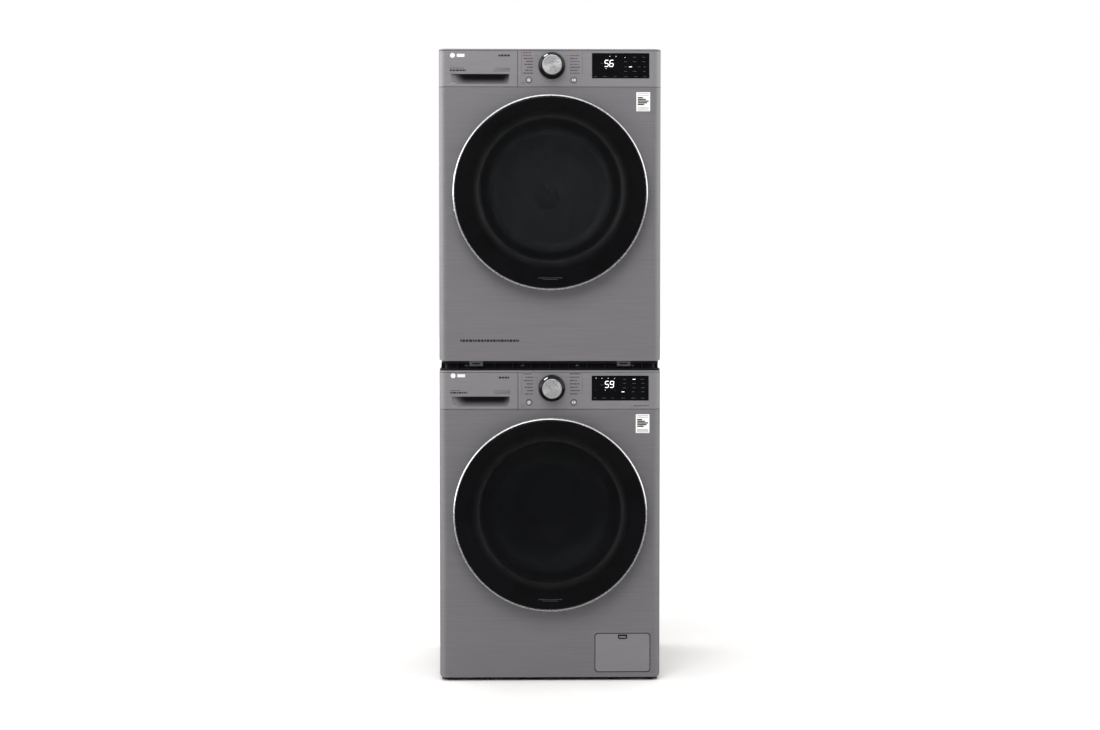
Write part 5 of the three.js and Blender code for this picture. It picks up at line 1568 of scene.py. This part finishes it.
def drive():
    axis = washer["axisZ"]
    y = edges("washer_stator")["y"]
    core = pipe(34.6, 62, (y[0] + 4, y[1] - 6), (0, axis), 72)
    teeth, coils = [core], []
    for k in range(36):
        tooth = block((-3.6, 3.6), (y[0] + 8, y[1] - 8), (axis + 60, axis + 112))
        shoe = block((-8.2, 8.2), (y[0] + 5, y[1] - 5), (axis + 112, axis + 119))
        coil = prism(roundedBox((-4.9, 4.9), (axis + 64, axis + 110), 3, 4), (y[0] + 2, y[1] - 2))
        teeth += [turnedAbout(tooth, 10 * k, (0, axis)), turnedAbout(shoe, 10 * k, (0, axis))]
        coils.append(turnedAbout(coil, 10 * k, (0, axis)))
    makePiece("washerStatorCore", together(*teeth), galvanised, "washer_suspended_tub",
        ["washer_stator"], 0.4)
    makePiece("washerStatorWindings", together(*coils), copper, "washer_suspended_tub", (),
        0.8)
    cup = lathe([(0, 196), (118, 196), (124, 194), (124, 168), (128, 168), (128, 196), (125, 200),
        (24, 200), (20, 203), (20, 208), (0, 208)], (0, axis), 120)
    vents = []
    for k in range(12):
        slot = prism(roundedBox((-5, 5), (axis + 52, axis + 108), 4.6), (190, 206))
        vents.append(turnedAbout(slot, 30 * k, (0, axis)))
    cup = carve(cup, *vents)
    magnets = [turnedAbout(block((-4.6, 4.6), (170, 192), (axis + 120.8, axis + 124.2)), 7.5 * k,
        (0, axis)) for k in range(48)]
    shaft = rod(12.5, (141.5, 197), (0, axis), 48)
    makePiece("washerRotor", together(cup, shaft), galvanised, "washer_drum",
        ["washer_rotor"], 0.7)
    makePiece("washerRotorMagnets", together(*magnets), enamel, "washer_drum", (), 0.4)


def suspension():
    look = {"turns": 13, "wire": 1.7, "coilRadius": 9.2, "bootFoot": 176, "bootRibs": 5, "ribPitch": 6}
    turns, radius, low = look["turns"], look["coilRadius"], look["bootFoot"]
    for word in ("left", "right"):
        part = "washer_spring_" + word
        x, y, z = middle(part, "x"), middle(part, "y"), edges(part)["z"]
        coil = []
        for i in range(turns * 16 + 1):
            share = i / (turns * 16)
            angle = 2 * math.pi * turns * share
            coil.append((x + radius * math.cos(angle), y + radius * math.sin(angle),
                z[0] + 16 + (z[1] - z[0] - 32) * share))
        top = [(x + radius * 0.5, y, z[1] - 12), (x, y, z[1] - 8), (x, y + 4, z[1] - 3), (x, y, z[1] - 1.8)]
        foot = [(x, y, z[0] + 1.8), (x, y + 4, z[0] + 3), (x, y, z[0] + 8), (x + radius * 0.5, y, z[0] + 12)]
        makePiece(f"washerSpring{word.title()}", sweep(curved(foot, 5)[:-1] + coil + curved(top, 5)[1:],
            look["wire"], 10), zinc, "washer_suspended_tub", [part], smooth=60,
            stretch=((x, y, z[1] - 12), (x, y, z[0] + 12)))
        part = "washer_damper_" + word
        x, y, z = middle(part, "x"), middle(part, "y"), edges(part)["z"]
        rodLine = [(0, z[0]), (8, z[0]), (10, z[0] + 4), (10, z[1] - 14), (7, z[1] - 12), (7, z[1] - 2),
            (6, z[1]), (0, z[1])]
        makePiece(f"washerDamper{word.title()}", lathe(rodLine, (x, y), 48, "z"), zinc,
            "washer_suspended_tub", [part])
        gaiter = [(11, low), (17, low + 1)]
        for k in range(look["bootRibs"]):
            gaiter += [(13, low + 5 + look["ribPitch"] * k), (17, low + 8 + look["ribPitch"] * k)]
        gaiter += [(11, low + 32), (10.4, low + 30)]
        makePiece(f"washerDamperBoot{word.title()}", lathe(gaiter, (x, y), 48, "z"), darkRubber,
            "washer_suspended_tub", stretch=((x, y, low + 2), (x, y, low + 30)))


def drainPump():
    x, z = middle("washer_drain_filter", "x"), middle("washer_drain_filter", "z")
    body = lathe([(34, -275), (35.4, -275), (35.4, -192), (42, -190), (42, -132), (38, -128), (28, -124),
        (28, -92), (25, -90), (0, -90), (0, -126), (30, -130), (30, -190), (30, -275)], (x, z), 72)
    fan = [turnedAbout(block((x - 1, x + 1), (-104, -92), (z + 6, z + 26)), 40 * k, (x, z)) for k in range(9)]
    elbow = sweep(curved([(x, -170, z + 20), (x + 20, -170, z + 26), (224, -166, 104), (224, -120, 104)],
        6), 11, 24)
    hose = sweep([(224, -126 + 4 * k, 104) for k in range(102)], 11, 24)
    for vert in hose.verts:
        ripple = 1 + 0.05 * math.cos(vert.co.y * math.pi / 4)
        vert.co.x = 224 + (vert.co.x - 224) * ripple / 1.05
        vert.co.z = 104 + (vert.co.z - 104) * ripple / 1.05
    makePiece("washerDrainPump", together(body, elbow, *fan), mattBlack, "casing",
        ["washer_drain_pump"], 0.5)
    makePiece("washerDrainHose", hose, greyRubber, "casing", smooth=50)


def bluePolypropylene():
    # Polypropylene, self-coloured pale blue so that the softener cup is easy to find.
    kit = startMaterial("paleBluePolypropylene", "7fa3c4", 0.42, {"IOR": 1.49})
    addGrain(kit, 20.0, 0.0, ("789cbd", "88accd"), (0.38, 0.48))
    addGrain(kit, 1.0, 0.015)
    return kit["material"]


siphonBlue = bluePolypropylene()
washerDrawer()
dispenser()
tub()
counterweight()
drive()
suspension()
drainPump()
print("washer insides made")

# stacking frame


def stackingFrame():
    body = copyOf("stacking_frame")
    z = edges("stacking_frame")["z"]
    webs = []
    for k in range(11):
        x = -250 + 50 * k
        webs.append(block((x - 1.2, x + 1.2), (front + 6, front + 19), (z[0] + 3.5, z[1] - 5.5)))
    for k in range(9):
        y = -240 + 55 * k
        webs.append(block((-296, -284), (y - 1.2, y + 1.2), (z[0] + 3.5, z[1] - 5.5)))
        webs.append(block((284, 296), (y - 1.2, y + 1.2), (z[0] + 3.5, z[1] - 5.5)))
    makePiece("stackingFrame", together(body, *webs), mattBlack, "casing",
        ["stacking_frame"], 0.8)
    screws = [crossScrew(4, front + 17.2, (x, (z[0] + z[1]) / 2), -1) for x in (-225, -75, 75, 225)]
    makePiece("stackingFrameScrews", together(*screws), zinc, "casing", (), 0.1)


stackingFrame()

# dryer insides


def dryerTank():
    makePiece("dryerTank", copyOf("dryer_tank"), whitePlastic, "dryer_tank",
        ["dryer_tank"], 0.7)
    box = edges("dryer_tank")
    ribs = [block((-270, -110), (y - 1, y + 1), (box["z"][1] - 1.2, box["z"][1] + 1.2))
        for y in (-140, -100, -60, -20, 20, 60, 100)]
    well = carve(prism(roundedBox((-228, -152), (-243, -167), 10), (box["z"][1] - 3, box["z"][1] + 2), "z"),
        prism(roundedBox((-223, -157), (-238, -172), 8), (box["z"][1] - 5, box["z"][1] + 4), "z"))
    makePiece("dryerTankRibs", together(*ribs, well), whitePlastic, "dryer_tank", (), 0.5)


def bulkhead():
    axis = dryer["axisZ"]
    rear = edges("dryer_drum")["y"][0] - 4
    plate = prism(roundedBox((-294, 294), (1000, 1612), (20, 20, 20, 20)), (-250, -247))
    pressed = [pipe(250, 254, (-253, -246), (0, axis), 120)]
    throat = [(190, front + 13), (188, front + 11.4), (186, front + 13), (186, rear), (240, rear),
        (242, rear - 1.4), (242, rear - 4), (190, rear - 4)]
    throat = lathe(throat, (0, axis), 144)
    duct = block((-107.5, 107.5), (-248, -214), (axis - 275, axis - 140))
    rollers = [rod(7, (-248, -172), (s * 298.4 * math.sin(math.radians(35)),
        axis - 298.4 * math.cos(math.radians(35))), 32) for s in (-1, 1)]
    shelf = block((-293, -90), (-250, 136), (1614, 1617))
    root = block((-293, -90), (-250, -247), (1600, 1617))
    body = carve(plate, *pressed, throat, duct, *rollers, shelf, root, how="UNION")
    body = carve(body, rod(186, (-300, -200), (0, axis), 144), block((-103.5, 103.5), (-244, -218),
        (axis - 271, axis - 120)))
    makePiece("dryerBulkhead", body, greyPlastic, "casing", ["dryer_bulkhead"], 0.5)
    seal = lathe([(229.5, rear + 0.4), (231, rear + 3.4), (236, rear + 4), (240, rear + 3),
        (240.6, rear + 0.4)], (0, axis), 144)
    makePiece("dryerFeltSeal", seal, felt, "casing")


def lintFilter():
    axis = dryer["axisZ"]
    body = edges("dryer_lint_filter")
    x, y, z = body["x"], body["y"], body["z"]
    shell = carve(prism(roundedBox(x, z, (10, 10, 2, 2)), y), rod(185, (y[0] - 5, y[1] + 5), (0, axis), 144))
    windows = [prism(roundedBox((u - 29, u + 29), (z[0] + 10, axis - 196), 5), (y[0] - 3, y[0] + 5))
        for u in (-64, 0, 64)]
    windows += [prism(roundedBox((u - 29, u + 29), (z[0] + 10, axis - 196), 5), (y[1] - 5, y[1] + 3))
        for u in (-64, 0, 64)]
    inside = prism(roundedBox((x[0] + 3, x[1] - 3), (z[0] + 4, axis - 190), 6), (y[0] + 3, y[1] - 3))
    shell = carve(shell, inside, *windows)
    grip = prism(roundedBox((-34, 34), (axis - 190, axis - 168), (2, 2, 8, 8)), (y[0] + 6, y[1] - 6))
    hole = prism(roundedBox((-24, 24), (axis - 182, axis - 173), 4), (y[0] + 2, y[1] - 2))
    makePiece("dryerLintFrame", together(shell, carve(grip, hole)), slate, "dryer_lint_filter",
        ["dryer_lint_filter"], 0.5)
    panels = [block((x[0] + 4, x[1] - 4), (v - 0.2, v + 0.2), (z[0] + 6, axis - 192))
        for v in (y[0] + 2.4, y[1] - 2.4)]
    makePiece("dryerLintMesh", together(*panels), lintCloth, "dryer_lint_filter", (), 0.1)


def roller(word):
    part, body = "dryer_roller_" + word, "dryer_roller_" + word
    x, z, y = middle(part, "x"), middle(part, "z"), edges(part)["y"]
    tyre = [(23, y[0] + 1), (28.6, y[0]), (30, y[0] + 1.4), (30, y[1] - 1.4), (28.6, y[1]), (23, y[1] - 1)]
    wheel = [(7.5, y[0] + 1), (11, y[0] + 1), (12, y[0] + 6), (20, y[0] + 6), (23, y[0] + 2),
        (23, y[1] - 2), (20, y[1] - 6), (12, y[1] - 6), (11, y[1] - 1), (7.5, y[1] - 1)]
    makePiece(f"dryerRollerTyre{word.title()}", lathe(tyre, (x, z), 72), darkRubber, body,
        [part])
    spokes = [turnedAbout(block((x - 1.2, x + 1.2), (y[0] + 2, y[1] - 2), (z + 11, z + 22)), 60 * k,
        (x, z)) for k in range(6)]
    makePiece(f"dryerRollerHub{word.title()}", together(lathe(wheel, (x, z), 72), *spokes), whitePlastic,
        body, (), 0.2)


def motorAndFan():
    x, z = middle("dryer_motor", "x"), middle("dryer_motor", "z")
    can = lathe([(9, 66), (22, 66), (24, 70), (24, 80), (52, 82), (59, 88), (60, 94), (60, 166), (59, 172),
        (52, 178), (24, 180), (24, 192), (20, 196), (0, 196), (0, 172), (9, 172)], (x, z), 96)
    slots = [turnedAbout(prism(roundedBox((x - 2, x + 2), (z + 30, z + 50), 1.9), (76, 92)), 30 * k,
        (x, z)) for k in range(12)]
    bands = [pipe(59.6, 61, (v, v + 5), (x, z), 96) for v in (100, 150)]
    makePiece("dryerMotorCan", carve(can, *slots), enamel, "casing", ["dryer_motor"], 0.5)
    makePiece("dryerMotorBands", together(*bands), zinc, "casing", (), 0.2)
    x, z = middle("dryer_blower", "x"), middle("dryer_blower", "z")
    wheel = lathe([(0, -150), (78, -150), (80, -148), (80, -143), (40, -145), (0, -141)], (x, z), 96)
    rim = pipe(72, 80, (-111, -108), (x, z), 96)
    blades = []
    for k in range(36):
        blade = prism(arcBand((x - 26, z + 66), 25.4, 26.6, -22, 18, 6), (-145, -109))
        blades.append(turnedAbout(blade, 10 * k, (x, z)))
    pulley = lathe([(0, 16), (13, 16), (14, 17), (14, 19), (10, 19.4), (10, 34.6), (14, 35), (14, 37),
        (13, 38), (0, 38)], (x, z), 64)
    shaft = rod(8, (-149, 168), (x, z), 32)
    makePiece("dryerBlowerWheel", together(wheel, rim, *blades), greyPlastic, "dryer_blower",
        ["dryer_blower"], 0.3)
    makePiece("dryerBlowerShaft", together(shaft, pulley), zinc, "dryer_blower", (), 0.3)


def belt():  # a thin ribbed loop round the drum and the motor pulley
    axis = dryer["axisZ"]
    x, z = middle("dryer_blower", "x"), middle("dryer_blower", "z")
    run, heading = math.hypot(x, z - axis), math.atan2(z - axis, x)
    drumRadius, pulleyRadius = edges("dryer_drum")["x"][1], 10

    def loop(offset):
        big, small = drumRadius + offset, pulleyRadius + offset
        spread = math.acos((big - small) / run)
        a = math.degrees(heading + spread)
        b = math.degrees(heading - spread)
        return arc((0, axis), big, a, b + 360, 120) + arc((x, z), small, b, a, 16)
    y = edges("dryer_belt")["y"]
    body = carve(prism(loop(3.3), y), prism(loop(1.6), (y[0] - 1, y[1] + 1)))
    ribs = []
    for k in range(6):
        at = y[0] + 1.4 + 2.1 * k
        ribs.append(carve(prism(loop(1.7), (at, at + 1.1)), prism(loop(0.95), (at - 1, at + 3))))
    makePiece("dryerBelt", together(body, *ribs), darkRubber, "casing", ["dryer_belt"])


def heatPump():
    floor = edges("dryer_heat_pump")["z"][0]
    shell = lathe([(0, floor), (60, floor), (62, floor + 2), (62, floor + 8), (60, floor + 10),
        (55, floor + 11), (54, floor + 18), (54, floor + 116), (50, floor + 127), (40, floor + 134),
        (22, floor + 139), (0, floor + 141)], (-205, 170), 96, "z")
    weld = lathe([(53.6, floor + 62), (55.2, floor + 64), (55.2, floor + 67), (53.6, floor + 69)],
        (-205, 170), 96, "z")
    makePiece("dryerCompressor", together(shell, weld), enamel, "casing",
        ["dryer_heat_pump"])
    leaves, tubes = [], []
    for y in (-150, 10):
        for k in range(46):
            at = -119 + 3.9 * k
            leaves.append(block((at, at + 0.9), (y + 1, y + 119), (floor + 1, floor + 117)))
        for row in range(5):
            for level in range(4):
                centre = (y + 14 + 23 * row, floor + 18 + 27 * level)
                tubes.append(rod(4.4, (-124, 62), centre, 20, "x"))
            for level in range(0, 3, 2):
                bend = [(62 + 12 * math.sin(a * math.pi / 8), y + 14 + 23 * row,
                    floor + 31.5 + 27 * level - 13.5 * math.cos(a * math.pi / 8)) for a in range(9)]
                tubes.append(sweep(bend, 4.4, 12))
    makePiece("dryerCoilFins", together(*leaves), fins, "casing")
    tubes.append(sweep(curved([(-112, -60, floor + 98), (-124, -20, floor + 104), (-126, 60, floor + 106),
        (-150, 130, floor + 112), (-190, 150, floor + 120)], 8), 5, 16))
    tubes.append(sweep(curved([(-24, -32, floor + 66), (-24, -10, floor + 70), (-24, 12, floor + 66)], 6),
        5, 16))
    tubes.append(sweep(curved([(-118, 110, floor + 40), (-134, 120, floor + 44), (-150, 140, floor + 60)],
        8), 5, 16))
    makePiece("dryerRefrigerantPipes", together(*tubes), copper, "casing", smooth=50)


def dryerBase():
    makePiece("dryerBase", copyOf("dryer_base"), mattBlack, "casing", ["dryer_base"], 0.8)


dryerTank()
bulkhead()
lintFilter()
roller("left")
roller("right")
motorAndFan()
belt()
heatPump()
dryerBase()
print("dryer insides made")

# backs and sides


def raised(back, profile):  # a profile given by its heights above a machine's back
    return [(radius, back + height) for radius, height in profile]


def ringOfScrews(back, centre, look):
    angles = [math.radians(360 * (k + 0.5) / look["screws"]) for k in range(look["screws"])]
    ring, height = look["screwRing"], back + look["screwHeight"]
    return [crossScrew(4, height, (ring * math.sin(a), centre + ring * math.cos(a)), 1, look["screwDepth"])
        for a in angles]


def edgeScrews(back, heights):
    return [crossScrew(4, back + 1.8, (side * 288, z), 1) for z in heights for side in (-1, 1)]


def washerBack():
    look = {"cover": [(0, 0.8), (92, 0.8), (96, 2.2), (104, 2.3), (108, 0.8), (138, 0.9), (141, 2.4),
                (148, 2.4), (149.6, 1.4), (150, -0.2), (0, -0.2)],
            "screws": 6, "screwRing": 144, "screwHeight": 3.6, "screwDepth": 1.6,
            "edgeScrews": (60, 420, 780),
            "transitCap": [(0, 3.4), (11, 3.2), (14, 2.2), (15, 0.6), (15, -0.2), (0, -0.2)],
            "transitBolts": (190, (640, 300)), "cordGland": (250, 800),
            "gland": [(0, 11.8), (4.4, 11.8), (6.2, 11), (7.4, 6), (10.4, 3), (11, -0.3), (0, -0.3)]}
    rear, axis = washer["rear"], washer["axisZ"]
    cover = lathe(raised(rear, look["cover"]), (0, axis), 144)
    makePiece("washerAccessCover", cover, galvanised, "casing", smooth=12)
    screws = ringOfScrews(rear, axis, look)
    boltX, boltHeights = look["transitBolts"]
    for z in boltHeights:
        screws += [lathe(raised(rear, look["transitCap"]), (side * boltX, z), 48) for side in (-1, 1)]
    screws += edgeScrews(rear, look["edgeScrews"])
    makePiece("washerBackScrews", together(*screws), zinc, "casing", (), 0.1)
    gland = lathe(raised(rear, look["gland"]), look["cordGland"], 48)
    drainCollar = pipe(11.2, 13.4, (rear - 1, rear + 3), drain, 48)
    makePiece("washerCordGland", together(gland, drainCollar), darkRubber, "casing", (), 0.2)


def dryerBack():
    look = {"cover": [(0, 2.4), (40, 2.6), (44, 3.9), (64, 3.9), (68, 2.6), (196, 2.6), (201, 3.9),
                (232, 3.9), (237, 2.4), (249, 2), (252, -0.2), (0, -0.2)],
            "slotRings": ((92, 24), (118, 32), (144, 40), (170, 48)), "slot": (2.2, 8),
            "screws": 8, "screwRing": 243, "screwHeight": 3.8, "screwDepth": 2.6,
            "edgeScrews": (900, 1290, 1690),
            "cordGland": (-262, 1690), "gland": [(0, 3.8), (6, 3.8), (9, 3), (11, 1), (11, -0.3), (0, -0.3)]}
    rear, axis = dryer["rear"], dryer["axisZ"]
    halfWide, halfLong = look["slot"]
    slots = []
    for ring, count in look["slotRings"]:
        opening = roundedBox((-halfWide, halfWide), (axis + ring - halfLong, axis + ring + halfLong), 2.1, 3)
        slots += [turnedAbout(prism(opening, (rear + 1, rear + 8)), 360 * k / count, (0, axis))
            for k in range(count)]
    disc = carve(lathe(raised(rear, look["cover"]), (0, axis), 160), together(*slots))
    makePiece("dryerRearCover", disc, galvanised, "casing", smooth=12)
    tower = lathe([(12.6, 262), (36, 262), (39, 266), (58, rear - 2), (60, rear - 0.6), (12.6, rear - 0.6)],
        (0, axis), 96)
    makePiece("dryerBearingTower", tower, galvanised, "casing")
    screws = ringOfScrews(rear, axis, look) + edgeScrews(rear, look["edgeScrews"])
    makePiece("dryerBackScrews", together(*screws), zinc, "casing", (), 0.1)
    gland = lathe(raised(rear, look["gland"]), look["cordGland"], 48)
    makePiece("dryerCordGland", gland, darkRubber, "casing", (), 0.2)


def ratingLabel(name, back, x, z):  # a plain label: rows of dashes beside an empty square
    film = prism(roundedBox(x, z, 2), (back - 0.1, back + 0.12))
    makePiece(name + "RatingLabel", film, paper, "casing", (), 0.03)
    ink = (back + 0.1, back + 0.18)
    lines = []
    for k in range(5):
        lines += wordDashes((x[0] + 6, x[1] - 30), z[1] - 8 - 8.4 * k, 2.2, 100 + k, ink)
    lines.append(carve(prism(roundedBox((x[1] - 24, x[1] - 6), (z[0] + 8, z[0] + 26), 1), ink),
        prism(roundedBox((x[1] - 22, x[1] - 8), (z[0] + 10, z[0] + 24), 1), (back, back + 1))))
    makePiece(name + "RatingLabelPrint", together(*lines), darkInk, "casing")


washerBack()
dryerBack()
ratingLabel("washer", washer["rear"], (-80, 60), (652, 712))
ratingLabel("dryer", dryer["rear"], (60, 190), (1622, 1672))
print("backs made")
